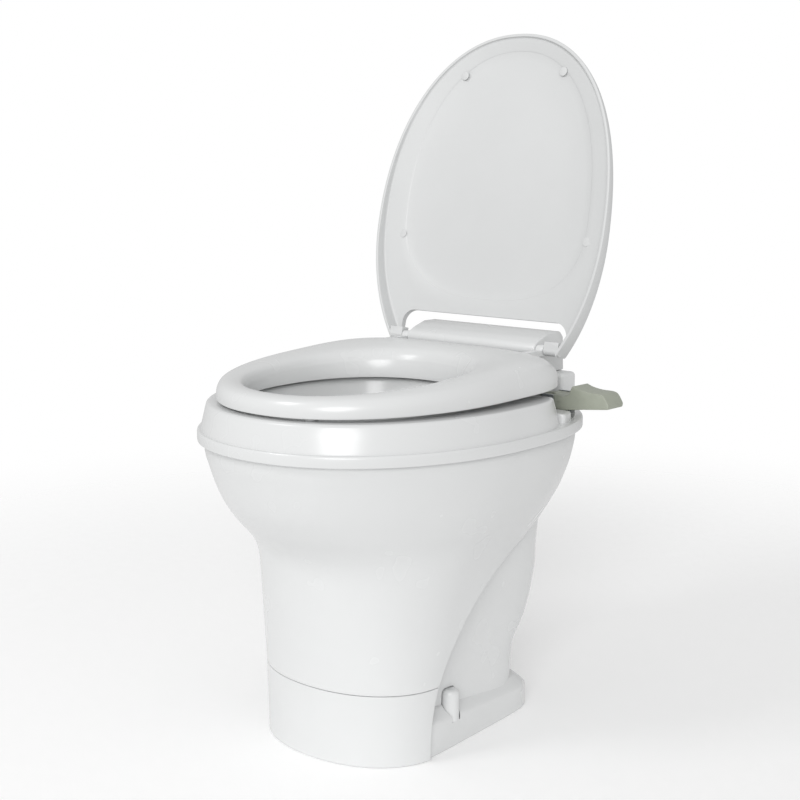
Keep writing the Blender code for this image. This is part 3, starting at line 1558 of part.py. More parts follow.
def make_vacuum_breaker():
    bottom = breaker_bottom()
    top = bottom + BREAKER_HEIGHT
    place = (BREAKER_X, BREAKER_Y)
    side_z = bottom + BREAKER_HEIGHT / 2
    body = join(
        cylinder("breaker", BREAKER_RADIUS, (*place, bottom), (*place, top + SEAM)),
        cylinder("cap", BREAKER_CAP_RADIUS, (*place, top), (*place, top + BREAKER_CAP_HEIGHT), 12),
        cylinder("barb", BARB_RADIUS, (*place, bottom - BARB_LENGTH), (*place, bottom + SEAM), 12),
        along_x(
            "side_barb",
            BARB_RADIUS,
            BREAKER_X,
            BREAKER_X + BREAKER_RADIUS + BARB_LENGTH,
            BREAKER_Y,
            side_z,
            SCREW_POINTS,
        ),
    )
    return finish(body, "vacuum_breaker", DARK_PLASTIC)


def make_bowl_nozzle():
    y = nozzle_y()
    z = nozzle_z()
    head = cylinder(
        "head", NOZZLE_RADIUS, (NOZZLE_X, y, z), (NOZZLE_X, y + NOZZLE_LENGTH / 3, z)
    )
    inner_y = y - 2 * BASIN_WALL
    stem = cylinder("stem", NOZZLE_BORE, (NOZZLE_X, inner_y, z), (NOZZLE_X, y + SEAM, z))
    barb = cylinder(
        "barb", BARB_RADIUS, (NOZZLE_X, y, z), (NOZZLE_X, y + NOZZLE_LENGTH / 3 + BARB_LENGTH, z)
    )
    return finish(join(head, stem, barb), "bowl_nozzle", ACETAL)


def hose(name, corners):
    """A hose whose ends run straight into what they meet."""
    path = [corners[0], *smooth_path(corners[1:-1], 4), corners[-1]]
    return finish(tube("hose", path, HOSE_RADIUS), name, HOSE)


def make_hoses():
    x = valve_middle_x()
    y = valve_y()
    low_z = BALL_Z + VALVE_RADIUS + BARB_LENGTH + SEAM
    high_z = breaker_bottom() - BARB_LENGTH - SEAM
    lead = (high_z - low_z) * HOSE_LEAD_SHARE
    hose(
        "supply_hose",
        [
            (x, y, low_z),
            (x, y, low_z + lead),
            (blend(x, BREAKER_X, 1 / 2), blend(y, BREAKER_Y, 1 / 2), blend(low_z, high_z, 1 / 2)),
            (BREAKER_X, BREAKER_Y, high_z - lead),
            (BREAKER_X, BREAKER_Y, high_z),
        ],
    )
    start_x = BREAKER_X + BREAKER_RADIUS + BARB_LENGTH + SEAM
    start_z = breaker_bottom() + BREAKER_HEIGHT / 2
    end_y = nozzle_y() + NOZZLE_LENGTH / 3 + BARB_LENGTH + SEAM
    lead = NOZZLE_LENGTH / 3
    hose(
        "rinse_hose",
        [
            (start_x, BREAKER_Y, start_z),
            (start_x + lead, BREAKER_Y, start_z),
            (NOZZLE_X - lead / 3, blend(BREAKER_Y, end_y, 1 / 3), blend(start_z, nozzle_z(), 2 / 5)),
            (NOZZLE_X, end_y + lead, nozzle_z()),
            (NOZZLE_X, end_y, nozzle_z()),
        ],
    )


# Seat

def seat_under_z(y):
    return RIM_Z + SEAT_LIFT + SEAT_UNDER_SLOPE * (y - WIDEST_Y + SEAT_FRONT_REACH)


def seat_thickness(y):
    share = (y - WIDEST_Y + SEAT_FRONT_REACH) / (SEAT_FRONT_REACH + SEAT_REAR_REACH)
    return blend(SEAT_FRONT_THICKNESS, SEAT_REAR_THICKNESS, share)


def seat_edge(angle, inset=0):
    powers = (FRONT_POWER, SEAT_REAR_POWER)
    reaches = (SEAT_FRONT_REACH, SEAT_REAR_REACH)
    return egg_point(angle, SEAT_HALF_WIDTH, *reaches, WIDEST_Y, powers, 0, inset)


def opening_edge(angle, outset=0):
    powers = (OPENING_POWER, OPENING_POWER)
    reaches = (OPENING_FRONT_REACH, OPENING_REAR_REACH)
    return egg_point(angle, OPENING_HALF_WIDTH, *reaches, OPENING_Y, powers, 0, -outset)


def skirt_z(_):
    """The level foot of the skirt round the opening."""
    return RIM_Z + SEAT_LIFT


def seat_ring(place, up, foot=seat_under_z):
    """A ring of the seat's section, from a function of the angle and a height share."""
    points = [place(2 * math.pi * step / RING_POINTS) for step in range(RING_POINTS)]
    for point in points:
        point.z = foot(point.y) + up * seat_thickness(point.y)
    return points


def across_seat(share):
    return lambda angle: seat_edge(angle).lerp(opening_edge(angle), share)


def make_seat():
    rings = [seat_ring(across_seat(share), up) for share, up in SEAT_SECTION_SHARES]
    rings.append(seat_ring(across_seat(1), SEAT_SKIRT_SHARE, skirt_z))
    rings.append(seat_ring(lambda angle: opening_edge(angle, SEAT_WALL), 0, skirt_z))
    rings.append(seat_ring(lambda angle: opening_edge(angle, 2 * SEAT_WALL), SEAT_ROOF_SHARE))
    rings.append(seat_ring(lambda angle: seat_edge(angle, 2 * SEAT_WALL), SEAT_ROOF_SHARE))
    rings.append(seat_ring(lambda angle: seat_edge(angle, SEAT_WALL), 0))
    seat = loft("seat", rings, wrap=True)
    for side in (1, -1):
        xs = sorted((side * SEAT_EAR_INNER_X, side * (SEAT_EAR_INNER_X + SEAT_EAR_THICKNESS)))
        knuckle = along_x("knuckle", KNUCKLE_RADIUS, *xs, HINGE_Y, HINGE_Z)
        ear = box(
            "ear",
            (xs[0] + SEAM, HINGE_Y - SEAT_EAR_REACH, HINGE_Z - KNUCKLE_RADIUS + SEAM),
            (xs[1] - SEAM, HINGE_Y, HINGE_Z + SEAM),
        )
        seat = join(seat, knuckle, ear)
    pin_reach = SEAT_EAR_INNER_X + 2 * SEAT_EAR_THICKNESS
    bore = along_x(
        "bore", HINGE_PIN_RADIUS + RUNNING, -pin_reach, pin_reach, HINGE_Y, HINGE_Z
    )
    return cut(seat, bore)


def surface(item):
    corners = [vertex.co for vertex in item.data.vertices]
    return BVHTree.FromPolygons(corners, [face.vertices for face in item.data.polygons])


def pad_end(tree, place, radius, start_z, heading):
    """The height where a round pad, growing from start_z, first meets a surface."""
    heights = []
    for step in range(SCREW_POINTS):
        angle = 2 * math.pi * step / SCREW_POINTS
        for reach in (0, radius):
            start = (place.x + reach * math.cos(angle), place.y + reach * math.sin(angle), start_z)
            heights.append(tree.ray_cast(start, (0, 0, heading))[0].z)
    return min(heights) if heading > 0 else max(heights)


def pad_places(degrees_by_row, share):
    for row, degrees in degrees_by_row.items():
        place = across_seat(share)(math.radians(degrees))
        yield row + "_right", place
        yield row + "_left", Vector((-place.x, place.y, place.z))


def make_seat_bumpers(seat):
    tree = surface(seat)
    for name, place in pad_places(BUMPER_SEAT_DEGREES, 1 / 2):
        low = RIM_Z + SEAM
        high = pad_end(tree, place, BUMPER_RADIUS, low, 1) - SEAM
        pad = cylinder(
            "pad", BUMPER_RADIUS, (place.x, place.y, low), (place.x, place.y, high), SCREW_POINTS
        )
        finish(pad, "seat_bumper_" + name, RUBBER, (0, HINGE_Y, HINGE_Z))


# Hinge

def make_hinge_cover():
    """A low wedge whose front edge is a barrel round the hinge line."""
    barrel = []
    for step in range(BARREL_POINTS + 1):
        angle = math.radians(BARREL_START_DEGREES + BARREL_SPAN_DEGREES * step / BARREL_POINTS)
        barrel.append(
            (HINGE_Y + KNUCKLE_RADIUS * math.cos(angle), HINGE_Z + KNUCKLE_RADIUS * math.sin(angle))
        )
    depth = HINGE_COVER_REAR_Y - HINGE_Y
    bottom = PLATFORM_Z + SEAM
    top = [
        (HINGE_Y + depth * along, HINGE_Z + HINGE_COVER_RISE * up)
        for along, up in HINGE_COVER_TOP_SHARES
    ]
    base = [(HINGE_COVER_REAR_Y, bottom), (PLATFORM_FRONT_Y, bottom)]
    outline = barrel[::-1] + top + base
    half = HINGE_COVER_HALF_WIDTH
    body = soften(
        side_plate("hinge_cover", outline, -half, half), HINGE_COVER_EDGE, math.radians(60)
    )
    low_y = PLATFORM_FRONT_Y + HINGE_COVER_WALL
    hollow_half = HINGE_BOLT_X - HINGE_BOLT_RADIUS - HINGE_COVER_WALL
    hollow = box(
        "hollow",
        (-hollow_half, low_y, bottom - OVERRUN),
        (
            hollow_half,
            HINGE_COVER_REAR_Y - HINGE_COVER_WALL,
            HINGE_Z + HINGE_COVER_RISE * HINGE_COVER_TOP_SHARES[-1][1] - HINGE_COVER_WALL,
        ),
    )
    body = cut(body, hollow)
    for side in (1, -1):
        x = side * HINGE_BOLT_X
        stud_top = (x, HINGE_BOLT_Y, PLATFORM_Z + HINGE_BOLT_GRIP + SEAM)
        stud = cylinder(
            "stud_hole", HINGE_BOLT_RADIUS + SEAM, (x, HINGE_BOLT_Y, PLATFORM_Z), stud_top
        )
        xs = sorted((side * (pin_inner_x() - SEAM), side * (half + OVERRUN)))
        pin = along_x("pin_hole", HINGE_PIN_RADIUS + SEAM, *xs, HINGE_Y, HINGE_Z)
        body = cut(body, stud, pin)
    return finish(body, "hinge_cover", WHITE)


def pin_inner_x():
    return HINGE_COVER_HALF_WIDTH - HINGE_PIN_GRIP


def make_hinge_pins_and_bolts():
    for name, side in (("right", 1), ("left", -1)):
        end = LID_CUT_HALF_WIDTH + LID_LEG_SOLID - LID_PIN_WALL - SEAM
        xs = sorted((side * pin_inner_x(), side * end))
        pin = along_x("pin", HINGE_PIN_RADIUS, *xs, HINGE_Y, HINGE_Z)
        finish(pin, "hinge_pin_" + name, STEEL)
        x = side * HINGE_BOLT_X
        y = HINGE_BOLT_Y
        ceiling = PLATFORM_Z - BOWL_WALL
        stud = cylinder(
            "stud",
            HINGE_BOLT_RADIUS,
            (x, y, PLATFORM_Z - HINGE_BOLT_REACH),
            (x, y, PLATFORM_Z + HINGE_BOLT_GRIP),
        )
        finish(stud, "hinge_bolt_" + name, STEEL)
        low = (x, y, ceiling - SEAM - HINGE_NUT_HEIGHT)
        nut = cylinder("nut", HINGE_NUT_RADIUS, low, (x, y, ceiling - SEAM), 6)
        bore = cylinder(
            "bore",
            HINGE_BOLT_RADIUS + SEAM,
            (x, y, ceiling - HINGE_NUT_HEIGHT - OVERRUN),
            (x, y, ceiling + OVERRUN),
        )
        finish(cut(nut, bore), "hinge_nut_" + name, ACETAL)


# Lid. It is drawn closed, with u forward from the hinge line, and then turned open.

def lid_bow(heights, u):
    """The height at u on the even curve through the heights at hinge, middle and tip."""
    hinge, middle, tip = heights
    share = u / LID_LENGTH
    half = LID_MIDDLE_SHARE
    return (
        hinge * (share - half) * (share - 1) / half
        + middle * share * (share - 1) / (half * (half - 1))
        + tip * share * (share - half) / (1 - half)
    )


def lid_rim(u):
    return lid_bow(LID_RIM_HEIGHTS, u)


def lid_back(u):
    return lid_bow(LID_BACK_HEIGHTS, u)


def place_lid_ring(points, height):
    for point in points:
        u = max(point.y, -LID_TAIL)
        point.y = HINGE_Y - u
        point.z = HINGE_Z + height(u)
    return points[::-1]


def lid_ring(inset, height):
    points = egg(
        LID_HALF_WIDTH,
        LID_REAR_REACH,
        LID_LENGTH - LID_WIDEST,
        LID_WIDEST,
        (LID_REAR_POWER, LID_FRONT_POWER),
        0,
        inset,
        LID_POINTS,
    )
    for point in points:
        point.y = max(point.y, inset - LID_TAIL)
    return place_lid_ring(points, height)


def panel_ring(inset, height):
    points = egg(
        PANEL_HALF_WIDTH,
        PANEL_WIDEST - PANEL_REAR,
        LID_LENGTH - PANEL_TIP_INSET - PANEL_WIDEST,
        PANEL_WIDEST,
        (PANEL_POWER, LID_FRONT_POWER),
        0,
        inset,
        LID_POINTS,
    )
    return place_lid_ring(points, height)


def panel_edge(u):
    return lid_back(u) + LID_DOME * LID_SHOULDER_SHARE - LID_SHELL


def make_lid():
    rings = [
        lid_ring(LID_CROWN_INSET, lambda u: lid_back(u) + LID_DOME),
        lid_ring(LID_SHOULDER_INSET, lambda u: lid_back(u) + LID_DOME * LID_SHOULDER_SHARE),
        lid_ring(LID_EDGE, lid_back),
        lid_ring(LID_EDGE / 4, lambda u: lid_back(u) - LID_EDGE),
        lid_ring(0, lid_rim),
        lid_ring(LID_WALL, lid_rim),
        lid_ring(LID_WALL + LID_EDGE / 4, lambda u: lid_back(u) - LID_SHELL - LID_BORDER_SINK),
        panel_ring(0, lambda u: panel_edge(u) - LID_BORDER_SINK),
        panel_ring(LID_PANEL_STEP, panel_edge),
        panel_ring(
            LID_CROWN_INSET - LID_SHOULDER_INSET, lambda u: lid_back(u) + LID_DOME - LID_SHELL
        ),
    ]
    lid = loft("lid", rings)
    lid = cut(lid, lid_cutout())
    for side in (1, -1):
        inner_x = LID_CUT_HALF_WIDTH + SEAM
        xs = sorted((side * inner_x, side * (LID_CUT_HALF_WIDTH + LID_LEG_SOLID)))
        knuckle = along_x("knuckle", KNUCKLE_RADIUS, *xs, HINGE_Y, HINGE_Z)
        web = box(
            "web",
            (xs[0] + SEAM, HINGE_Y - LID_LEG_WEB, HINGE_Z - KNUCKLE_RADIUS + SEAM),
            (xs[1] - SEAM, HINGE_Y, HINGE_Z + KNUCKLE_RADIUS - SEAM),
        )
        lid = join(lid, knuckle, web)
        bore_end = LID_CUT_HALF_WIDTH + LID_LEG_SOLID - LID_PIN_WALL
        xs = sorted((side * (LID_CUT_HALF_WIDTH - OVERRUN), side * bore_end))
        lid = cut(lid, along_x("bore", HINGE_PIN_RADIUS + RUNNING, *xs, HINGE_Y, HINGE_Z))
    return lid


def lid_cutout():
    """The opening between the lid's legs, with round inner corners."""
    half = LID_WINDOW_HALF_WIDTH
    reach = LID_CUT_REACH
    corner = LID_CUT_CORNER
    outline = [(half, -reach), (-half, -reach)]
    for side in (-1, 1):
        for step in range(CORNER_POINTS + 1):
            angle = math.pi / 2 * step / CORNER_POINTS
            if side > 0:
                angle = math.pi / 2 - angle
            x = side * (half - corner + corner * math.cos(angle))
            outline.append((x, reach - corner + corner * math.sin(angle)))
    flat = [Vector((x, HINGE_Y - u, HINGE_Z - reach)) for x, u in outline]
    high = [point + Vector((0, 0, 2 * reach)) for point in flat]
    return loft("cutout", [flat, high])


def make_lid_bumpers(lid, seat):
    under_lid = surface(lid)
    over_seat = surface(seat)
    for name, place in pad_places(BUMPER_LID_DEGREES, SEAT_CROWN_SHARE):
        low = pad_end(over_seat, place, LID_BUMPER_RADIUS, PLATFORM_Z + SIDE_REACH, -1) + BUMPER_GAP
        high = pad_end(under_lid, place, LID_BUMPER_RADIUS, PLATFORM_Z, 1) - SEAM
        pad = cylinder(
            "pad", LID_BUMPER_RADIUS, (place.x, place.y, low), (place.x, place.y, high), SCREW_POINTS
        )
        finish(pad, "lid_bumper_" + name, RUBBER, (0, HINGE_Y, HINGE_Z), -LID_OPEN_ANGLE)


def make_seat_and_lid():
    hinge = (0, HINGE_Y, HINGE_Z)
    seat = make_seat()
    lid = make_lid()
    make_seat_bumpers(seat)
    make_lid_bumpers(lid, seat)
    finish(seat, "seat", WHITE, hinge)
    finish(lid, "lid", WHITE, hinge, -LID_OPEN_ANGLE)


make_pedestal()
make_base_cover()
make_floor_bolts()
make_bolt_cap("bolt_cap_right", 1)
make_bolt_cap("bolt_cap_left", -1)
make_bowl()
make_valve_housing()
make_housing_cover()
make_rear_bush()
make_flush_ball()
make_valve_seals()
make_drain_pipe()
make_housing_screws()
make_drive_shaft()
make_return_spring()
make_cam()
make_crank()
make_link_rod()
make_hand_lever()
make_lever_bracket()
make_lever_pin()
make_water_valve()
make_plunger()
make_inlet_nipple()
make_vacuum_breaker()
make_bowl_nozzle()
make_hoses()
make_hinge_cover()
make_hinge_pins_and_bolts()
make_seat_and_lid()
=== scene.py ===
# A gravity-flush toilet with a hand lever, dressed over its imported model.
# Metres, +Z up, front towards -Y, the origin on the floor under the rear of the foot.
import math

import bpy
from mathutils import Matrix, Vector


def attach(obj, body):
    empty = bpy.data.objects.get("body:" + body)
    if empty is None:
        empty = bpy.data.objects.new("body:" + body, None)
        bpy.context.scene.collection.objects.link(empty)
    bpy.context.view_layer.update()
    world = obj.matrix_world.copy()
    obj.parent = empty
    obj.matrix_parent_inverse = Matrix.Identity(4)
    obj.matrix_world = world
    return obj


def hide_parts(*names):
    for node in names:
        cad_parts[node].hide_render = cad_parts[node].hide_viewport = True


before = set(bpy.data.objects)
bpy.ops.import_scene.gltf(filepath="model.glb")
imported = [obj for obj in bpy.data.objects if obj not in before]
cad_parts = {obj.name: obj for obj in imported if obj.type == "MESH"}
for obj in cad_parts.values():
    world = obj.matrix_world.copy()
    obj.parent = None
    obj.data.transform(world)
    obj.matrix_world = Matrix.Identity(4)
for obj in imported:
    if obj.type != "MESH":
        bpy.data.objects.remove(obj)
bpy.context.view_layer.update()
print("frame loaded:", len(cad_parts), "nodes")


# Camera, first because everything is judged through it

cameraView = {
    "place": (1.0917, -1.3969, 0.6775),
    "heading": (-0.6594, 0.7339, -0.1633),
    "lens": 64.44,
    "shift": (0.0315, -0.0124),
}


def placeCamera():
    bpy.ops.object.camera_add(location=cameraView["place"])
    camera = bpy.context.active_object
    camera.name = "photoCamera"
    camera.rotation_mode = "QUATERNION"
    camera.rotation_quaternion = Vector(cameraView["heading"]).to_track_quat("-Z", "Y")
    camera.data.sensor_width = 36
    camera.data.lens = cameraView["lens"]
    camera.data.shift_x, camera.data.shift_y = cameraView["shift"]
    bpy.context.scene.camera = camera


placeCamera()
print("camera placed")


# Materials

def linear(hexColour):
    # an sRGB hex colour as the linear numbers that a socket takes
    channels = [int(hexColour[i : i + 2], 16) / 255 for i in (1, 3, 5)]
    return [c / 12.92 if c <= 0.04045 else ((c + 0.055) / 1.055) ** 2.4 for c in channels] + [1]


def addNode(tree, kind, settings=None, links=None):
    # settings go to a socket, by name or number, or to the node itself
    node = tree.nodes.new(kind)
    for name, value in (settings or {}).items():
        if isinstance(name, int) or name in node.inputs:
            node.inputs[name].default_value = value
        else:
            setattr(node, name, value)
    for name, socket in (links or {}).items():
        tree.links.new(socket, node.inputs[name])
    return node


def newMaterial(name, **sockets):
    # a material whose constants are set on its shader's own sockets
    made = bpy.data.materials.new(name)
    made.use_nodes = True
    for socket, value in sockets.items():
        shaderOf(made).inputs[socket.replace("_", " ")].default_value = value
    return made


def shaderOf(made):
    return made.node_tree.nodes["Principled BSDF"]


def surfacePattern(made, size, detail=2, stretch=(1, 1, 1)):
    # noise over the piece, its lumps the given size in metres
    tree = made.node_tree
    place = addNode(tree, "ShaderNodeTexCoord")
    turned = addNode(
        tree, "ShaderNodeMapping", {"Scale": stretch}, {"Vector": place.outputs["Object"]}
    )
    lumps = {"Scale": 1 / size, "Detail": detail}
    return addNode(tree, "ShaderNodeTexNoise", lumps, {"Vector": turned.outputs[0]})


def tinted(made, pattern, dark, light):
    # a colour that wanders between two shades with the pattern
    shades = {"data_type": "RGBA", 6: linear(dark), 7: linear(light)}
    colour = addNode(made.node_tree, "ShaderNodeMix", shades, {0: pattern.outputs[0]})
    made.node_tree.links.new(colour.outputs[2], shaderOf(made).inputs["Base Color"])


def varied(made, pattern, dark, light, smooth, rough):
    # colour and roughness that wander a little with the pattern
    tinted(made, pattern, dark, light)
    span = {"From Min": 0.1, "From Max": 0.9, "To Min": smooth, "To Max": rough}
    gloss = addNode(made.node_tree, "ShaderNodeMapRange", span, {"Value": pattern.outputs[0]})
    made.node_tree.links.new(gloss.outputs[0], shaderOf(made).inputs["Roughness"])


def bumped(made, pattern, height, strength):
    relief = {"Strength": strength, "Distance": height}
    bump = addNode(made.node_tree, "ShaderNodeBump", relief, {"Height": pattern.outputs[0]})
    made.node_tree.links.new(bump.outputs[0], shaderOf(made).inputs["Normal"])


def glossPolypropylene():
    # Polypropylene moulded in a polished steel tool: even white, a clear but soft gloss,
    # and broad shallow waves where the thick walls shrank as they cooled.
    made = newMaterial("glossPolypropylene", IOR=1.49, Coat_Weight=0.15, Coat_Roughness=0.12)
    cloud = surfacePattern(made, 0.060)  # colour drifts over about 60 mm
    varied(made, cloud, "#D6D7D7", "#D9DADA", 0.24, 0.29)
    wave = surfacePattern(made, 0.014, 1)  # sink waves about 14 mm apart
    bumped(made, wave, 0.00008, 0.6)
    return made


def shadedSatinPolypropylene():
    # The same plastic from a finely etched tool, as under the lid: a finer, duller sheen. Its
    # colour is painted shade, a few steps darker than the gloss white, so that the whole lid
    # renders darker.
    made = newMaterial("shadedSatinPolypropylene", IOR=1.49)
    varied(made, surfacePattern(made, 0.050), "#CCCDCD", "#CFD0D0", 0.36, 0.44)
    grain = surfacePattern(made, 0.0012)  # etched grain, drawn 1.2 mm so that it shows
    bumped(made, grain, 0.00003, 0.5)
    return made


def leverPlastic():
    # Grey-green polypropylene, satin, worn a little paler where hands press it.
    made = newMaterial("greyGreenPolypropylene", IOR=1.49)
    varied(made, surfacePattern(made, 0.012, 3), "#969A8D", "#A3A79A", 0.38, 0.50)
    grain = surfacePattern(made, 0.0010)  # spark-eroded grain, 1 mm so that it shows
    bumped(made, grain, 0.00005, 0.6)
    return made


def blackAbs():
    # Black ABS: a grey sheen, faint flow marks along the mould.
    made = newMaterial("blackAbs", IOR=1.53)
    flow = surfacePattern(made, 0.008, 3, (1, 1, 0.25))
    varied(made, flow, "#1A1A1C", "#242426", 0.34, 0.50)
    bumped(made, surfacePattern(made, 0.0009), 0.00004, 0.6)
    return made


def naturalAcetal():
    # Natural acetal: milky, a little light goes in before it comes back, waxy gloss.
    made = newMaterial("naturalAcetal", IOR=1.48, Subsurface_Weight=0.15, Subsurface_Scale=0.002)
    varied(made, surfacePattern(made, 0.015), "#D9D8CC", "#E6E5DA", 0.28, 0.38)
    bumped(made, surfacePattern(made, 0.0008, 2, (1, 1, 0.2)), 0.00002, 0.5)
    return made


def nitrileRubber():
    # Moulded nitrile: matt black with a bloom of paler wax on it.
    made = newMaterial("nitrileRubber", IOR=1.52)
    varied(made, surfacePattern(made, 0.006, 4), "#161616", "#2A2A29", 0.62, 0.85)
    bumped(made, surfacePattern(made, 0.0007, 3), 0.00006, 0.8)
    return made


def vinylHose():
    # Grey vinyl hose: soft sheen, faint draw lines along its length.
    made = newMaterial("vinylHose", IOR=1.53)
    draw = surfacePattern(made, 0.0015, 3, (1, 1, 0.05))
    varied(made, draw, "#8C8F92", "#A0A3A6", 0.40, 0.55)
    bumped(made, draw, 0.00003, 0.6)
    return made


def zincSteel():
    # Zinc-plated steel: cool bright grey, cloudy from the bath, fine turning marks.
    made = newMaterial("zincSteel", Metallic=1.0)
    varied(made, surfacePattern(made, 0.004, 3), "#B4B9BE", "#CDD1D4", 0.22, 0.40)
    bumped(made, surfacePattern(made, 0.0004, 1, (1, 1, 4)), 0.00001, 0.5)
    return made


def turnedBrass():
    # Turned brass: yellow, slightly dulled, tool marks across the axis.
    made = newMaterial("turnedBrass", Metallic=1.0)
    varied(made, surfacePattern(made, 0.005, 3), "#B08D45", "#CDAA5E", 0.24, 0.42)
    bumped(made, surfacePattern(made, 0.0005, 1, (1, 4, 1)), 0.00001, 0.5)
    return made


def whiteElastomer():
    # White thermoplastic rubber, as pads have: matt, a hair greyer than the lid.
    made = newMaterial("whiteElastomer", IOR=1.5)
    varied(made, surfacePattern(made, 0.005, 3), "#CBCCCC", "#CFD0D0", 0.50, 0.60)
    grain = surfacePattern(made, 0.0008)  # moulded grain, 0.8 mm so that it shows
    bumped(made, grain, 0.00004, 0.6)
    return made


finishes = {
    "white_plastic": glossPolypropylene(),
    "lever_plastic": leverPlastic(),
    "dark_plastic": blackAbs(),
    "acetal": naturalAcetal(),
    "rubber": nitrileRubber(),
    "hose": vinylHose(),
    "steel": zincSteel(),
    "brass": turnedBrass(),
}
# the lid's plastic, its colour darkened as painted shade
shadedLidFinish = shadedSatinPolypropylene()
padFinish = whiteElastomer()
print("materials made:", len(finishes) + 2)


# Making and finishing pieces

def pick(item):
    # makes one object selected and active, and nothing else
    bpy.ops.object.select_all(action="DESELECT")
    item.select_set(True)
    bpy.context.view_layer.objects.active = item


def settle(item, kind, **settings):
    # adds a modifier and applies it
    pick(item)
    step = item.modifiers.new(kind, kind)
    for name, value in settings.items():
        setattr(step, name, value)
    bpy.ops.object.modifier_apply(modifier=step.name)


def finishPiece(item, name, *nodes, body="base", slot="white_plastic", material=None, angle=35):
    # names a piece, smooths it, gives it its finish and body, and hides the nodes that it stands
    # for
    pick(item)
    item.name = name
    item.data.name = name
    item.data.materials.clear()
    item.data.materials.append(material or finishes[slot])
    bpy.ops.object.transform_apply(location=True, rotation=True, scale=True)
    bpy.ops.object.shade_smooth_by_angle(angle=math.radians(angle))
    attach(item, body)
    if nodes:
        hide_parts(*nodes)
    print("made", name, len(item.data.polygons), "faces")


def newPiece(name):
    # the primitive just added, named, with its place in its mesh
    item = bpy.context.active_object
    item.name = name
    bpy.ops.object.transform_apply(location=True, rotation=True, scale=True)
    return item


def formedGrid(name, rows, wrap=False, caps=False, ends=False):
    # a grid primitive with each vertex moved to its place in rows of points; each row is a
    # closed ring unless it has ends, and wrap joins the last row to the first
    if wrap:
        rows = rows + rows[:1]
    around = len(rows[0]) - 1 if ends else len(rows[0])
    along = len(rows) - 1
    bpy.ops.mesh.primitive_grid_add(x_subdivisions=around, y_subdivisions=along, size=1)
    item = newPiece(name)
    for vertex in item.data.vertices:
        column = round((vertex.co.x + 0.5) * around) % len(rows[0])
        row = round((vertex.co.y + 0.5) * along)
        vertex.co = rows[row][column]
    bpy.ops.object.mode_set(mode="EDIT")
    bpy.ops.mesh.select_all(action="SELECT")
    bpy.ops.mesh.remove_doubles(threshold=0.000001)
    if caps:
        bpy.ops.mesh.select_all(action="SELECT")
        bpy.ops.mesh.fill_holes(sides=0)
    bpy.ops.mesh.select_all(action="SELECT")
    bpy.ops.mesh.normals_make_consistent(inside=False)
    bpy.ops.object.mode_set(mode="OBJECT")
    return item


def slab(name, outline, low, high, across):
    # an n-sided circle primitive moved to an outline and extruded from low to high
    bpy.ops.mesh.primitive_circle_add(vertices=len(outline), fill_type="NGON")
    item = newPiece(name)
    step = Vector({"X": (1, 0, 0), "Y": (0, 1, 0), "Z": (0, 0, 1)}[across]) * (high - low)
    for vertex, (a, b) in zip(item.data.vertices, outline):
        vertex.co = {"X": (low, a, b), "Y": (a, low, b), "Z": (a, b, low)}[across]
    bpy.ops.object.mode_set(mode="EDIT")
    bpy.ops.mesh.select_all(action="SELECT")
    bpy.ops.mesh.extrude_region_move(TRANSFORM_OT_translate={"value": step})
    bpy.ops.mesh.select_all(action="SELECT")
    bpy.ops.mesh.normals_make_consistent(inside=False)
    bpy.ops.object.mode_set(mode="OBJECT")
    return item


def rod(name, radius, start, end, points=48):
    # a cylinder primitive from start to end
    start = Vector(start)
    line = Vector(end) - start
    bpy.ops.mesh.primitive_cylinder_add(
        vertices=points,
        radius=radius,
        depth=line.length,
        location=start + line / 2,
        rotation=line.to_track_quat("Z", "Y").to_euler(),
    )
    return newPiece(name)


def block(name, low, high):
    low = Vector(low)
    high = Vector(high)
    bpy.ops.mesh.primitive_cube_add(size=1, location=(low + high) / 2, scale=high - low)
    return newPiece(name)


def carve(item, *tools, operation="DIFFERENCE"):
    # takes tools out of a piece, or joins them to it, and removes them
    for tool in tools:
        settle(item, "BOOLEAN", object=tool, operation=operation, solver="EXACT")
        bpy.data.objects.remove(tool, do_unlink=True)


def rounded(item, width, segments, degrees):
    # bevels the edges that are sharper than an angle
    sharp = {"limit_method": "ANGLE", "angle_limit": math.radians(degrees)}
    settle(item, "BEVEL", width=width, segments=segments, harden_normals=False, **sharp)


def unselectMesh(item):
    # an edit of chosen faces or edges starts with none of them selected
    pick(item)
    bpy.ops.object.mode_set(mode="EDIT")
    bpy.ops.mesh.select_all(action="DESELECT")
    bpy.ops.object.mode_set(mode="OBJECT")


def bevelAbove(item, z, ends, width, segments, profile):
    # rounds the edges with all, or any, of their ends above a height
    unselectMesh(item)
    for edge in item.data.edges:
        edge.select = ends(item.data.vertices[v].co.z > z for v in edge.vertices)
    bpy.ops.object.mode_set(mode="EDIT")
    bpy.ops.mesh.select_mode(type="EDGE")
    bpy.ops.mesh.bevel(offset=width, segments=segments, profile=profile, affect="EDGES")
    bpy.ops.object.mode_set(mode="OBJECT")


def blend(start, end, share):
    share = min(1, max(0, share))
    return start + (end - start) * share


def spread(start, end, steps):
    # evenly spaced values, both ends among them
    return [blend(start, end, step / steps) for step in range(steps + 1)]


def slopeAt(rows, index, column):
    # the slope of a table's column at a row, level where the column turns
    slopes = []
    for low in (index - 1, index):
        if 0 <= low < len(rows) - 1:
            rise = rows[low + 1][column] - rows[low][column]
            slopes.append(rise / (rows[low + 1][0] - rows[low][0]))
    if len(slopes) == 1:
        return slopes[0]
    before, after = slopes
    return 0 if before * after <= 0 else 2 * before * after / (before + after)


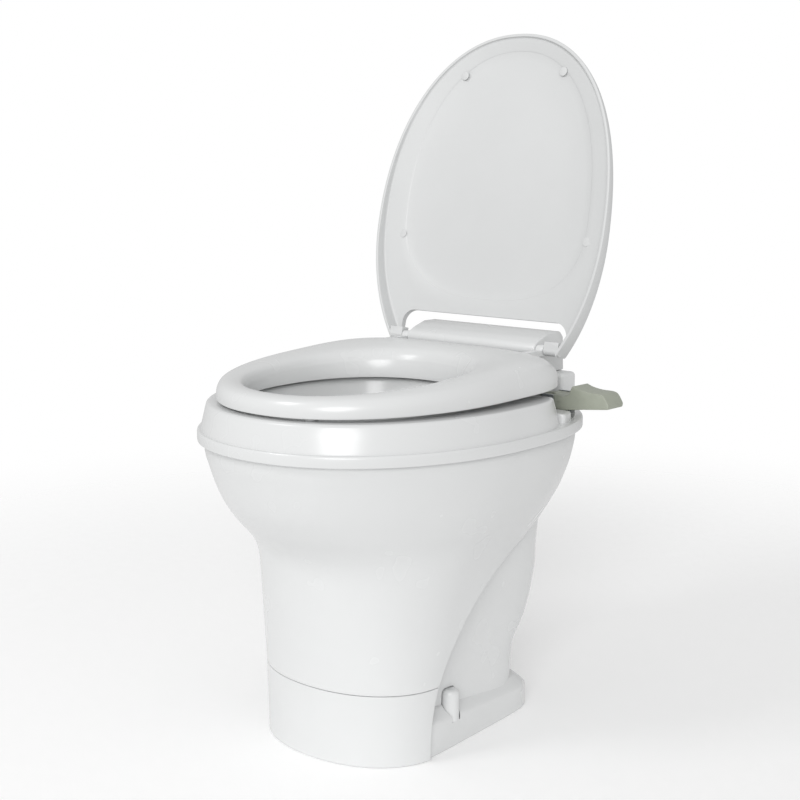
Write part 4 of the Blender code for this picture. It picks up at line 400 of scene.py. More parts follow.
def rowAt(rows, share):
    # a row of a table at a share of its height, on a smooth curve through the rows
    share = min(rows[-1][0], max(rows[0][0], share))
    index = 0
    while index < len(rows) - 2 and share > rows[index + 1][0]:
        index += 1
    low, high = rows[index], rows[index + 1]
    span = high[0] - low[0]
    t = (share - low[0]) / span
    values = []
    for column in range(1, len(low)):
        start = slopeAt(rows, index, column) * span
        end = slopeAt(rows, index + 1, column) * span
        values.append(
            (2 * t**3 - 3 * t**2 + 1) * low[column]
            + (t**3 - 2 * t**2 + t) * start
            + (3 * t**2 - 2 * t**3) * high[column]
            + (t**3 - t**2) * end
        )
    return values


def halfOf(shape, along):
    # an outline's front and rear halves have their own reach and roundness
    end = "rear" if along > 0 else "front"
    return shape[end], shape[end + "Power"]


def eggPoint(angle, shape, z, inset=0):
    across = math.cos(angle)
    along = math.sin(angle)
    reach, power = halfOf(shape, along)
    x = (shape["halfWidth"] - inset) * math.copysign(abs(across) ** (2 / power), across)
    y = shape["widestY"] + (reach - inset) * math.copysign(abs(along) ** (2 / power), along)
    return Vector((x, y, z))


def eggRing(shape, z, inset=0, count=128):
    return [eggPoint(2 * math.pi * step / count, shape, z, inset) for step in range(count)]


# Pedestal: the outer shroud, the wall of the recess behind it, and the rear column on its foot

pedestalSizes = {
    "height": 0.358,
    "wall": 0.004,
    "halfWidth": 0.187,
    "front": 0.236,
    "rear": 0.222,
    "widestY": -0.151,
    "forward": 0.056,  # how far the widest line moves from top to base
    "frontPower": 2.12,
    "rearPower": 2.55,
    # height, half width, front reach, widest line, rear reach, as shares of the sizes above
    "rows": (
        (0.000, 0.631, 0.636, 1.00, 0.592),
        (0.225, 0.642, 0.642, 1.00, 0.592),
        (0.377, 0.672, 0.658, 0.85, 0.706),
        (0.563, 0.709, 0.684, 0.60, 0.784),
        (0.606, 0.722, 0.692, 0.50, 0.803),
        (0.651, 0.749, 0.715, 0.35, 0.830),
        (0.696, 0.791, 0.764, 0.20, 0.876),
        (0.755, 0.856, 0.848, 0.10, 0.913),
        (0.823, 0.920, 0.920, 0.00, 0.950),
        (0.918, 0.979, 0.975, 0.00, 0.991),
        (0.980, 1.000, 1.000, 0.00, 1.000),
        (1.000, 1.000, 1.000, 0.00, 1.000),
    ),
    "arch": {"y": 0.018, "z": 0.020, "reach": 0.235, "rise": 0.222},
    "columns": (44, 48, 12),  # before the arch, along it, behind its top
    "levels": 52,
    "edge": 0.0016,
}

coverSizes = {
    "height": 0.084,
    "wall": 0.003,
    "seam": 0.0006,
    "rearY": -0.217,
    "edge": 0.0008,
    "lift": 0.0003,  # clear of the floor
}

columnSizes = {
    "height": 0.300,
    "halfWidth": 0.150,
    "frontY": -0.235,
    "widestY": -0.120,
    "rear": 0.170,
    "power": 5.0,
    "wall": 0.004,
    "lowerWall": 0.010,  # behind the bolt caps
    "lowerWallTop": 0.075,
    "low": 0.020,
    "inlet": (0.0165, -0.0278, 0.14),  # radius, x, z
    # height, half width, rear reach, as shares of the sizes above
    "rows": (
        (0.140, 0.661, 0.610),
        (0.290, 0.675, 0.625),
        (0.345, 0.682, 0.700),
        (0.405, 0.693, 0.775),
        (0.500, 0.715, 0.825),
        (0.600, 0.749, 0.836),
        (0.707, 0.775, 0.815),
        (0.847, 0.810, 0.820),
        (1.000, 0.880, 0.880),
    ),
}

footSizes = {
    "halfWidth": 0.115,
    "taper": 0.014,  # how much narrower each side is at the rear
    "frontY": -0.250,
    "rearY": 0.008,
    "hiddenY": -0.2185,  # where it ends, behind the base cover
    "frontHeight": 0.040,
    "rearHeight": 0.027,
    "shoulder": 0.013,
    "shoulderRise": 0.012,
    "power": 7.0,
    "plate": 0.008,
    # inset, share of the upright side's height, and rise, from the floor to its top edge
    "edges": (
        (0.0015, 0, 0.0000),
        (0.0004, 0, 0.0005),
        (0.0000, 0, 0.0016),
        (0.0000, 1, -0.0025),
        (0.0003, 1, -0.0009),
        (0.0013, 1, 0.0007),
    ),
    "slopeInsets": (0.003, 0.007, 0.011),
    "drain": (0.0633, -0.160),  # radius, y
    "hollow": (0.078, -0.212, -0.045, 0.060),  # half width, front, rear, top
}

boltCapSizes = {
    "radius": 0.0105,
    "gap": 0.0013,  # the round pocket is that much wider
    "place": (0.103, -0.166),
    "bottom": 0.0303,
    "top": 0.067,
    "dome": 0.007,
}


def shroudShape(z):
    s = pedestalSizes
    width, front, shift, rear = rowAt(s["rows"], z / s["height"])
    moved = shift * s["forward"]
    return {
        "halfWidth": width * s["halfWidth"],
        "front": front * s["front"] - moved,
        "rear": rear * s["rear"] + moved,
        "widestY": s["widestY"] - moved,
        "frontPower": s["frontPower"],
        "rearPower": s["rearPower"],
    }


def shroudAngle(y, z):
    # the angle at which the shroud's outline reaches y at a height
    shape = shroudShape(z)
    along = y - shape["widestY"]
    reach, power = halfOf(shape, along)
    return math.copysign(math.asin(min(1, abs(along) / reach) ** (power / 2)), along)


def shroudHalfWidth(y, z):
    return eggPoint(shroudAngle(y, z), shroudShape(z), z).x


def archHeight(y):
    a = pedestalSizes["arch"]
    along = min(1, abs(y - a["y"]) / a["reach"])
    return a["z"] + a["rise"] * math.sqrt(1 - along * along)


def archY(z):
    a = pedestalSizes["arch"]
    up = min(1, max(0, z - a["z"]) / a["rise"])
    return a["y"] - a["reach"] * math.sqrt(1 - up * up)


def shroudColumns():
    # angles round one half from front to rear, each with the height where its column starts
    a = pedestalSizes["arch"]
    before, along, behind = pedestalSizes["columns"]
    low = coverSizes["height"] + coverSizes["seam"]
    first = shroudAngle(archY(low), low)
    columns = [(angle, low) for angle in spread(-math.pi / 2, first, before)[:-1]]
    start = math.asin((low - a["z"]) / a["rise"])
    for turn in spread(start, math.pi / 2, along)[:-1]:
        z = a["z"] + a["rise"] * math.sin(turn)
        columns.append((shroudAngle(a["y"] - a["reach"] * math.cos(turn), z), z))
    top = a["z"] + a["rise"]
    for angle in spread(shroudAngle(a["y"], top), math.pi / 2, behind):
        columns.append((angle, archHeight(eggPoint(angle, shroudShape(top), top).y)))
    return columns


def makeShroud():
    s = pedestalSizes
    half = shroudColumns()
    rows = []
    for share in spread(0, 1, s["levels"]):
        right = []
        for angle, low in half:
            z = blend(low, s["height"], share)
            right.append(eggPoint(angle, shroudShape(z), z))
        rows.append(right + [Vector((-p.x, p.y, p.z)) for p in right[-2:0:-1]])
    item = formedGrid("shroud", rows)
    settle(item, "SOLIDIFY", thickness=s["wall"], offset=-1, use_even_offset=True)
    rounded(item, s["edge"], 3, 60)
    finishPiece(item, "pedestalShroud", "pedestal")


recessSizes = {
    "wall": 0.003,
    "foot": (0.0004, 0.007, 0.014),  # heights of the upright part below the arch
    "turnDegrees": 94,
    "steps": (60, 24),  # along the arch, from side to side
    "behindShroud": 0.0022,
    "behindCover": 0.0034,
}


def makeRecessWall():
    # the smooth tunnel that the arch makes through the shroud, from side to side
    s = recessSizes
    a = pedestalSizes["arch"]
    along, across = s["steps"]
    line = [(coverSizes["rearY"], z) for z in s["foot"]]
    for turn in spread(0, math.radians(s["turnDegrees"]), along):
        line.append((a["y"] - a["reach"] * math.cos(turn), a["z"] + a["rise"] * math.sin(turn)))
    seam = coverSizes["height"] + coverSizes["seam"]
    rows = []
    for share in spread(1, -1, across):
        row = []
        for y, z in line:
            inside = s["behindShroud"] if z > seam else s["behindCover"]
            row.append(Vector((share * (shroudHalfWidth(y, z) - inside), y, z)))
        rows.append(row)
    item = formedGrid("recessWall", rows, ends=True)
    middle = item.data.polygons[len(item.data.polygons) // 2]
    if middle.normal.z > 0:
        item.data.flip_normals()
    settle(item, "SOLIDIFY", thickness=s["wall"], offset=-1)
    finishPiece(item, "recessWall")


def footShare(y):
    # 0 at the rear of the base cover, 1 at the rear of the foot
    return (y - coverSizes["rearY"]) / (footSizes["rearY"] - coverSizes["rearY"])


def footRing(inset, share, rise):
    # share 0 lies on the floor, share 1 at the top of the upright side
    f = footSizes
    reach = (f["rearY"] - f["frontY"]) / 2
    shape = {
        "halfWidth": f["halfWidth"],
        "front": reach,
        "rear": reach,
        "widestY": f["rearY"] - reach,
        "frontPower": f["power"],
        "rearPower": f["power"],
    }
    ring = eggRing(shape, 0, inset)
    for point in ring:
        point.x *= 1 - blend(0, f["taper"] / f["halfWidth"], footShare(point.y))
        point.y = max(point.y, f["hiddenY"])
        height = blend(f["frontHeight"], f["rearHeight"], footShare(point.y))
        point.z = share * height + rise
    return ring


def makeFoot():
    f = footSizes
    top = f["shoulderRise"]
    rows = [footRing(*row) for row in f["edges"]]
    rows += [footRing(inset, 1, inset * top / f["shoulder"]) for inset in f["slopeInsets"]]
    rows.append(footRing(f["shoulder"], 1, top - 0.0002))
    rows.append(footRing(f["shoulder"] + 0.002, 1, top))
    item = formedGrid("foot", rows, caps=True)
    radius, y = f["drain"]
    half, front, rear, hollowTop = f["hollow"]
    drain = rod("drain", radius, (0, y, -0.01), (0, y, 0.03), 96)
    hollow = block("hollow", (-half, front, f["plate"]), (half, rear, hollowTop))
    carve(item, drain, hollow, *capPockets())
    finishPiece(item, "foot")


def columnRing(z, inset):
    c = columnSizes
    width, rear = rowAt(c["rows"], z / c["height"])
    shape = {
        "halfWidth": width * c["halfWidth"],
        "front": c["widestY"] - c["frontY"],
        "rear": rear * c["rear"],
        "widestY": c["widestY"],
        "frontPower": c["power"],
        "rearPower": c["power"],
    }
    return eggRing(shape, z, inset)


def capPockets():
    b = boltCapSizes
    x, y = b["place"]
    for side in (1, -1):
        low = (side * x, y, b["bottom"] - 0.0003)
        high = (side * x, y, b["top"] + b["gap"])
        pocket = rod("pocket", b["radius"] + b["gap"], low, high)
        domeTop(pocket, high[2])
        yield pocket


def domeTop(item, z):
    # the round edge at the top of a cap, or of the pocket round it
    bevelAbove(item, z - 0.0001, all, boltCapSizes["dome"], 8, 0.62)


def makeColumn():
    c = columnSizes
    rows = [columnRing(z, 0) for z in spread(c["low"], c["height"], 56)]
    rows += [columnRing(z, c["wall"]) for z in spread(c["height"], c["lowerWallTop"], 12)]
    rows.append(columnRing(c["lowerWallTop"] - 0.001, c["lowerWall"]))
    rows.append(columnRing(c["low"], c["lowerWall"]))
    item = formedGrid("column", rows, wrap=True)
    radius, x, z = c["inlet"]
    carve(item, rod("inlet", radius, (x, -0.03, z), (x, 0.04, z)), *capPockets())
    finishPiece(item, "rearColumn")


def makeBaseCover():
    c = coverSizes
    rows = []
    for z in spread(c["lift"], c["height"], 24):
        last = shroudAngle(archY(z) - c["seam"], z)
        row = []
        for side in spread(-1, 1, 120):
            angle = -math.pi / 2 + abs(side) * (last + math.pi / 2)
            point = eggPoint(angle, shroudShape(z), z)
            row.append(Vector((math.copysign(point.x, side), point.y, z)))
        rows.append(row)
    item = formedGrid("cover", rows, ends=True)
    front = min(item.data.polygons, key=lambda face: face.center.y)
    if front.normal.y > 0:
        item.data.flip_normals()
    settle(item, "SOLIDIFY", thickness=c["wall"], offset=-1)
    rounded(item, c["edge"], 3, 60)
    finishPiece(item, "baseCover", "base_cover")


def makeFloorPlate():
    # the floor of the pocket behind the base cover, with the two front bolts on it
    c = coverSizes
    outline = []
    for turn in spread(math.pi, 2 * math.pi, 64):
        point = eggPoint(turn, shroudShape(0), 0, c["wall"] + 0.0004)
        outline.append((point.x, min(point.y, c["rearY"])))
    item = slab("floorPlate", outline, c["lift"], footSizes["plate"], "Z")
    rounded(item, 0.0006, 2, 50)
    finishPiece(item, "frontFloorPlate")


def makeBoltCap(name, side, node):
    b = boltCapSizes
    x, y = b["place"]
    item = rod(name, b["radius"], (side * x, y, b["bottom"]), (side * x, y, b["top"]))
    domeTop(item, b["top"])
    finishPiece(item, name, node, angle=50)


makeShroud()
makeRecessWall()
makeFoot()
makeColumn()
makeBaseCover()
makeFloorPlate()
makeBoltCap("boltCapRight", 1, "bolt_cap_right")
makeBoltCap("boltCapLeft", -1, "bolt_cap_left")
print("pedestal made")


# Bowl: the bead, the band with its rim and basin, the deck behind, and the platform for the hinge

bowlSizes = {
    "beadBottom": 0.3583,
    "beadTop": 0.3718,
    "rim": 0.4023,
    "deck": 0.3823,
    "notchY": -0.052,  # where the band ends and the deck begins
    "corner": 0.005,  # round of the band's upright end corners
    "wall": 0.004,
    "basinWall": 0.0045,
    "drainY": -0.160,
    "outletRadius": 0.038,
    "outletTop": 0.2156,
    "outletMiddle": 0.205,
    "outletBottom": 0.1936,
    "flange": (0.062, 0.2006, 0.2056),  # radius, bottom, top
    "neck": 0.043,
    "bead": dict(
        halfWidth=0.195, front=0.244, rear=0.230, widestY=-0.151, frontPower=2.12, rearPower=2.55
    ),
    "band": dict(
        halfWidth=0.195, front=0.244, rear=0.134, widestY=-0.151, frontPower=2.12, rearPower=3.5
    ),
    # height above the bead's bottom and inset, from the outside over the top and back
    "beadProfile": (
        (0.0000, 0.0030),
        (0.0003, 0.0014),
        (0.0010, 0.0004),
        (0.0025, 0.0000),
        (0.0107, 0.0000),
        (0.0122, 0.0004),
        (0.0132, 0.0013),
        (0.0135, 0.0028),
        (0.0135, 0.0190),
        (0.0095, 0.0190),
        (0.0095, 0.0153),
        (-0.006, 0.0153),
        (-0.006, 0.0123),
        (0.0000, 0.0123),
    ),
    # height above the bead's top and inset, up the band's side
    "bandSide": (
        (-0.0020, 0.0040),
        (0.0000, 0.0040),
        (0.0015, 0.0043),
        (0.0145, 0.0073),
        (0.0275, 0.0104),
    ),
    # drop below the rim with the inset outside, then the outset at the mouth
    "bandEdge": ((0.0020, 0.0109), (0.0009, 0.0119), (0.0002, 0.0134), (0, 0.0152)),
    "mouthEdge": ((0, 0.0042), (0.0002, 0.0026), (0.0010, 0.0012), (0.0024, 0.0003)),
    "lip": 0.0042,  # drop to where the basin's own curve begins
    "innerInsets": (0.0165, 0.0090),  # of the band's inner face, under the rim and at the bead
    # drop below the deck's top and inset, over its edge
    "deckEdge": ((0.0030, 0.0090), (0.0015, 0.0094), (0.0004, 0.0104), (0, 0.0120)),
    "mouth": {"halfWidth": 0.122, "front": 0.147, "rear": 0.137, "y": -0.205},
    "mouthPowers": (2.1, 2.8),
    # depth, half width, front reach, widest line towards the drain, rear reach
    "basin": (
        (0.00, 1.000, 1.000, 0.00, 1.000),
        (0.16, 0.955, 0.950, 0.00, 0.960),
        (0.34, 0.890, 0.870, 0.05, 0.900),
        (0.54, 0.770, 0.730, 0.20, 0.810),
        (0.74, 0.580, 0.480, 0.50, 0.700),
        (0.90, 0.420, 0.160, 0.85, 0.640),
    ),
}

platformSizes = {
    "low": (-0.118, 0.026, 0.3688),
    "high": (0.118, 0.056, 0.4143),
    "edge": 0.005,
    "wall": 0.004,
}

channelSizes = {"low": (0.003, -0.030, 0.3721), "high": (0.260, 0.010, 0.395)}


def clippedRing(shape, z, inset, clipY, corner, count=96):
    # an outline cut straight across at clipY, with round corners: its front part is kept
    cornerY = clipY - corner
    along = cornerY - shape["widestY"]
    reach, power = halfOf(shape, along)
    start = math.copysign(math.asin((abs(along) / (reach - inset)) ** (power / 2)), along)
    ring = []
    for angle in spread(start, -math.pi - start, count - 1):
        ring.append(eggPoint(angle, shape, z, inset))
    x = ring[0].x - corner
    for side in (-1, 1):
        arc = []
        for turn in spread(0, math.pi / 2, 7)[1:]:
            across = side * (x + corner * math.cos(turn))
            arc.append(Vector((across, cornerY + corner * math.sin(turn), z)))
        if side < 0:
            ring += arc + [Vector((across, clipY, z)) for across in spread(-x, x, 18)[1:-1]]
        else:
            ring += arc[::-1]
    return ring


def turnedRound(ring, middleY):
    # the same ring with front and rear changed over
    return [Vector((-p.x, 2 * middleY - p.y, p.z)) for p in ring]


def makeBead():
    s = bowlSizes
    rows = [eggRing(s["bead"], s["beadBottom"] + up, inset, 160) for up, inset in s["beadProfile"]]
    item = formedGrid("bead", rows, wrap=True)
    finishPiece(item, "bowlBead")


def bandRing(z, inset):
    s = bowlSizes
    return clippedRing(s["band"], z, inset, s["notchY"] - max(0, inset - 0.004), s["corner"])


def basinRing(z, outset, guide):
    # a ring of the basin that faces the guide's points one by one
    s = bowlSizes
    depth = (s["rim"] - z) / (s["rim"] - s["outletTop"])
    width, front, shift, rear = rowAt(s["basin"], depth)
    mouth = s["mouth"]
    moved = shift * (s["drainY"] - mouth["y"])
    shape = {
        "halfWidth": width * mouth["halfWidth"],
        "front": front * mouth["front"] + moved,
        "rear": rear * mouth["rear"] - moved,
        "widestY": mouth["y"] + moved,
        "frontPower": s["mouthPowers"][0],
        "rearPower": s["mouthPowers"][1],
    }
    ring = []
    for point in guide:
        angle = math.atan2(point.y - mouth["y"], point.x)
        here = eggPoint(angle, shape, z, -outset)
        if depth > s["basin"][-1][0]:
            share = (depth - s["basin"][-1][0]) / (1 - s["basin"][-1][0])
            share = share * share * (3 - 2 * share)
            here = here.lerp(outletPoint(angle, z, outset), min(1, share))
        ring.append(here)
    return ring


def outletPoint(angle, z, outset):
    s = bowlSizes
    radius = s["outletRadius"] + outset
    return Vector((radius * math.cos(angle), s["drainY"] + radius * math.sin(angle), z))


def outletRing(radius, z, guide):
    s = bowlSizes
    ring = []
    for point in guide:
        angle = math.atan2(point.y - s["mouth"]["y"], point.x)
        ring.append(outletPoint(angle, z, radius - s["outletRadius"]))
    return ring


def makeBand():
    # one closed wall: up the band, over the rim, down the basin, round the outlet and back
    s = bowlSizes
    rim = s["rim"]
    wall = s["wall"]
    radius, neck = s["outletRadius"], s["neck"]
    flange, flangeLow, flangeHigh = s["flange"]
    rows = [bandRing(s["beadTop"] + z, inset) for z, inset in s["bandSide"]]
    rows += [bandRing(rim - drop, inset) for drop, inset in s["bandEdge"]]
    guide = rows[0]
    rows += [basinRing(rim - drop, outset, guide) for drop, outset in s["mouthEdge"]]
    rows += [basinRing(z, 0, guide) for z in spread(rim - s["lip"], s["outletTop"], 44)]
    for reach, z in (
        (radius, s["outletMiddle"]),
        (radius, s["outletBottom"]),
        (neck, s["outletBottom"]),
        (neck, flangeLow),
        (flange, flangeLow),
        (flange, flangeHigh),
        (neck, flangeHigh),
    ):
        rows.append(outletRing(reach, z, guide))
    for z in spread(s["outletTop"], rim - wall - 0.0004, 19):
        rows.append(basinRing(z, s["basinWall"], guide))
    upper, lower = s["innerInsets"]
    rows.append(bandRing(rim - wall, upper))
    rows.append(bandRing(s["beadTop"] - 0.002, lower))
    item = formedGrid("band", rows, wrap=True)
    finishPiece(item, "bowlBand", "bowl")


def makeDeck():
    s = bowlSizes
    bead = s["bead"]
    turnedShape = dict(
        bead,
        front=bead["rear"],
        rear=bead["front"],
        frontPower=bead["rearPower"],
        rearPower=bead["frontPower"],
    )
    low = s["beadTop"] - 0.001
    top = s["deck"]
    front = 2 * bead["widestY"] - (s["notchY"] - 0.0025)
    profile = [(top - s["wall"], 0.0134), (low, 0.0130), (low, 0.0090)]
    profile += [(top - drop, inset) for drop, inset in s["deckEdge"]]
    rows = []
    for z, inset in profile:
        clip = front - (inset - 0.009 if z < top - s["wall"] / 2 else 0)
        ring = clippedRing(turnedShape, z, inset, clip, 0.004)
        rows.append(turnedRound(ring, bead["widestY"]))
    item = formedGrid("deck", rows, caps=True)
    carve(item, block("channel", channelSizes["low"], channelSizes["high"]))
    finishPiece(item, "bowlDeck")


def makePlatform():
    # a hood that is open below
    s = platformSizes
    item = block("platform", s["low"], s["high"])
    unselectMesh(item)
    for face in item.data.polygons:
        face.select = face.normal.z < -0.5
    bpy.ops.object.mode_set(mode="EDIT")
    bpy.ops.mesh.delete(type="ONLY_FACE")
    bpy.ops.object.mode_set(mode="OBJECT")
    middle = (s["low"][2] + s["high"][2]) / 2
    bevelAbove(item, middle, any, s["edge"], 6, 0.5)
    settle(item, "SOLIDIFY", thickness=s["wall"], offset=-1)
    finishPiece(item, "hingePlatform")


makeBead()
makeBand()
makeDeck()
makePlatform()
print("bowl made")


# Seat and lid. Both are drawn closed, with the hinge line above the origin; the lid then opens.

hingeLine = Vector((0, 0, 0.445))

seatSizes = {
    "edge": dict(
        halfWidth=0.170, front=0.224, rear=0.138, widestY=-0.151, frontPower=2.12, rearPower=5.0
    ),
    "opening": dict(
        halfWidth=0.112, front=0.138, rear=0.130, widestY=-0.208, frontPower=2.2, rearPower=2.2
    ),
    "under": (0.4053, 0.017),  # height of the lower face at the front, and its slope
    "thickness": (0.020, 0.0378),  # front and rear
    "wall": 0.004,
    "roof": 0.45,
    # from the outer edge to the opening, height over the thickness
    "section": (
        (0.020, 0.00),
        (0.005, 0.03),
        (0.000, 0.10),
        (0.005, 0.40),
        (0.050, 0.64),
        (0.170, 0.88),
        (0.450, 1.00),
        (0.800, 0.93),
        (0.940, 0.76),
        (1.000, 0.48),
    ),
    # the skirt round the opening, down to its level foot: share and height over the thickness
    "skirt": ((1.002, 0.20), (1.002, 0.10), (0.995, 0.02), (0.980, 0.00)),
    "ear": dict(inner=0.1003, outer=0.1107, web=0.046, radius=0.0064, rise=0.0003, bore=0.13),
    "points": 192,
}

lidSizes = {
    # here front is towards the hinge and rear towards the tip
    "outline": dict(
        halfWidth=0.1758, front=0.2251, rear=0.2417, widestY=0.1466, frontPower=2.02, rearPower=2.18
    ),
    "panel": dict(
        halfWidth=0.142, front=0.110, rear=0.2033, widestY=0.165, frontPower=2.6, rearPower=2.18
    ),
    "length": 0.3883,
    "middle": 0.4,  # of the way from hinge to tip
    "tail": 0.010,
    "openDegrees": 102.5,
    "shell": 0.0045,
    # heights at the hinge, the middle and the tip
    "rim": (-0.0063, -0.0111, 0.0),
    "back": (0.0197, 0.0047, 0.0081),
    "dome": 0.0087,
    "centre": 0.185,  # way from the hinge to the crown
    # inset and share of the dome, from the crown to the edge
    "domeRows": (
        (0.0800, 1.00),
        (0.0680, 0.96),
        (0.0550, 0.87),
        (0.0420, 0.74),
        (0.0300, 0.55),
        (0.0220, 0.41),
        (0.0140, 0.24),
        (0.0085, 0.10),
    ),
    "outerRound": 0.006,
    # inset and height over the rim, from the outside to the inside
    "rimRows": (
        (0.0000, 0.0012),
        (0.0004, 0.0003),
        (0.0012, 0.0000),
        (0.0030, 0.0000),
        (0.0038, 0.0004),
        (0.0041, 0.0012),
    ),
    "rimWidth": 0.0044,
    "innerRound": 0.003,
    "shoulder": 0.55,  # share of the dome at the panel's edge
    "sink": 0.0012,
    "step": 0.0015,
    "panelRows": ((0.012, 0.72), (0.024, 0.86), (0.037, 0.96), (0.050, 1.0)),
    "cut": {"half": 0.129, "reach": 0.035, "corner": 0.018},
    "knuckle": dict(inner=0.1116, outer=0.1318, web=0.010, radius=0.0064, rise=0.006, bore=0.1288),
    "pin": 0.0042,
    "points": 192,
}


def curveThrough(points, steps):
    # a smooth curve through points of any number of coordinates
    made = []
    for index in range(len(points) - 1):
        before = points[max(0, index - 1)]
        after = points[min(len(points) - 1, index + 2)]
        corners = list(zip(before, points[index], points[index + 1], after))
        for step in range(steps):
            t = step / steps
            made.append(tuple(curveValue(*corner, t) for corner in corners))
    made.append(tuple(points[-1]))
    return made


def curveValue(a, b, c, d, t):
    second = 2 * a - 5 * b + 4 * c - d
    third = 3 * b - a - 3 * c + d
    return (2 * b + (c - a) * t + second * t * t + third * t**3) / 2


def seatRing(share, up, inset=0, outset=0, level=False):
    # level takes the foot of the skirt, which doesn't rise to the rear as the outer edge does
    s = seatSizes
    edge = s["edge"]
    count = s["points"]
    outer = eggRing(edge, 0, inset, count)
    inner = eggRing(s["opening"], 0, -outset, count)
    ring = []
    for far, near in zip(outer, inner):
        point = far.lerp(near, share)
        back = point.y - edge["widestY"] + edge["front"]
        thickness = blend(*s["thickness"], back / (edge["front"] + edge["rear"]))
        slope = 0 if level else s["under"][1]
        point.z = s["under"][0] + slope * back + up * thickness
        ring.append(point)
    return ring


def makeSeat():
    s = seatSizes
    rows = [seatRing(max(0, share), up) for share, up in curveThrough(s["section"], 4)]
    rows += [seatRing(share, up, level=True) for share, up in s["skirt"]]
    rows.append(seatRing(1, 0, outset=s["wall"], level=True))
    rows.append(seatRing(1, s["roof"], outset=2 * s["wall"]))
    rows.append(seatRing(0, s["roof"], inset=2 * s["wall"]))
    rows.append(seatRing(0, 0, inset=s["wall"]))
    item = formedGrid("seatRing", rows, wrap=True)
    joinKnuckles(item, s["ear"])
    finishPiece(item, "seatRing", "seat", body="seat", angle=40)


def joinKnuckles(item, k):
    # a knuckle on each side round the hinge line, its web to the front, and the pins' bore
    z = hingeLine.z
    for side in (1, -1):
        low, high = sorted((side * k["inner"], side * k["outer"]))
        knuckle = rod("knuckle", k["radius"], (low, 0, z), (high, 0, z), 64)
        foot = z - k["radius"] + 0.0003
        web = block("web", (low, -k["web"], foot), (high, 0, z + k["rise"]))
        carve(knuckle, web, operation="UNION")
        rounded(knuckle, 0.0012, 3, 50)
        carve(item, knuckle, operation="UNION")
    carve(item, rod("bore", lidSizes["pin"], (-k["bore"], 0, z), (k["bore"], 0, z), 32))


def lidBow(heights, u):
    # the height at u on the even curve through the heights at hinge, middle and tip
    hinge, middle, tip = heights
    share = u / lidSizes["length"]
    half = lidSizes["middle"]
    return (
        hinge * (share - half) * (share - 1) / half
        + middle * share * (share - 1) / (half * (half - 1))
        + tip * share * (share - half) / (1 - half)
    )


def lidRim(u):
    return lidBow(lidSizes["rim"], u)


def lidBack(u):
    return lidBow(lidSizes["back"], u)


def lidPoint(x, u, height):
    return Vector((x, -u, hingeLine.z + height))


def lidRing(inset, height):
    # a ring at an inset from the outline, its height a function of the way to the tip
    s = lidSizes
    ring = []
    for point in eggRing(s["outline"], 0, inset, s["points"]):
        u = max(point.y, inset - s["tail"], -s["tail"])
        ring.append(lidPoint(point.x, u, height(u)))
    return ring


def panelRing(inset, height):
    s = lidSizes
    ring = eggRing(s["panel"], 0, inset, s["points"])
    return [lidPoint(p.x, p.y, height(p.y)) for p in ring]


def above(height, rise):
    # the same heights along the lid, with a rise added
    return lambda u: height(u) + rise


def closeTo(ring, height):
    # rings that shrink to a point, so that a wide face is covered evenly
    rows = []
    for share in spread(1, 0, 8)[1:]:
        row = []
        for point in ring:
            u = blend(lidSizes["centre"], -point.y, share)
            row.append(lidPoint(point.x * share, u, height(u)))
        rows.append(row)
    return rows


def makeLid():
    # one skin: from the crown over the edge and the rim to the panel on the inside
    s = lidSizes
    dome = s["dome"]
    shell = s["shell"]
    border = shell + s["sink"]
    shoulder = above(lidBack, dome * s["shoulder"])
    crown = above(lidBack, dome)
    rows = [lidRing(inset, above(lidBack, dome * share)) for inset, share in s["domeRows"]]
    rows = closeTo(rows[0], crown)[::-1] + rows
    for turn in spread(0, math.pi / 2, 7):
        inset = s["outerRound"] * (1 - math.sin(turn)) + 0.0004
        drop = s["outerRound"] * (1 - math.cos(turn)) + 0.0003
        rows.append(lidRing(inset, above(lidBack, -drop)))
    rows += [lidRing(inset, above(lidRim, rise)) for inset, rise in s["rimRows"]]
    for turn in spread(0, math.pi / 2, 5):
        inset = s["rimWidth"] + s["innerRound"] * (1 - math.cos(turn))
        drop = s["innerRound"] * (1 - math.sin(turn))
        rows.append(lidRing(inset, above(lidBack, -border - drop)))
    last = rows[-1]
    panelEdge = panelRing(0, above(shoulder, -border))
    for share in (0.25, 0.5, 0.75):
        rows.append([a.lerp(b, share) for a, b in zip(last, panelEdge)])
    rows.append(panelEdge)
    rows.append(panelRing(0.0004, above(shoulder, 0.0002 - border)))
    rows.append(panelRing(0.0011, above(shoulder, -0.0002 - shell)))
    rows.append(panelRing(s["step"], above(shoulder, -shell)))
    for inset, share in s["panelRows"]:
        rows.append(panelRing(inset, above(lidBack, dome * share - shell)))
    rows += closeTo(rows[-1], above(crown, -shell))
    item = formedGrid("lidShell", rows)
    carve(item, lidCutout())
    joinKnuckles(item, s["knuckle"])
    openLid(item)
    finishPiece(item, "lidShell", "lid", body="lid", material=shadedLidFinish)


def lidCutout():
    # the opening between the lid's legs, with two round corners
    c = lidSizes["cut"]
    corner = c["corner"]
    outline = [(c["half"], c["reach"]), (-c["half"], c["reach"])]
    for side in (-1, 1):
        for turn in spread(0, math.pi / 2, 12)[::-side]:
            x = side * (c["half"] - corner + corner * math.cos(turn))
            outline.append((x, -c["reach"] + corner - corner * math.sin(turn)))
    z = hingeLine.z
    return slab("cutout", outline, z - 0.035, z + 0.035, "Z")


def openLid(item):
    turn = Matrix.Rotation(math.radians(-lidSizes["openDegrees"]), 4, "X")
    item.data.transform(Matrix.Translation(hingeLine) @ turn @ Matrix.Translation(-hingeLine))


lidPadSizes = {
    "radius": 0.0055,
    "height": 0.0004,
    # on the closed lid: x, way from the hinge, height of the lid's lower face
    "places": {"rear": (0.1431, 0.1329, 0.4494), "front": (0.0755, 0.3387, 0.4476)},
}


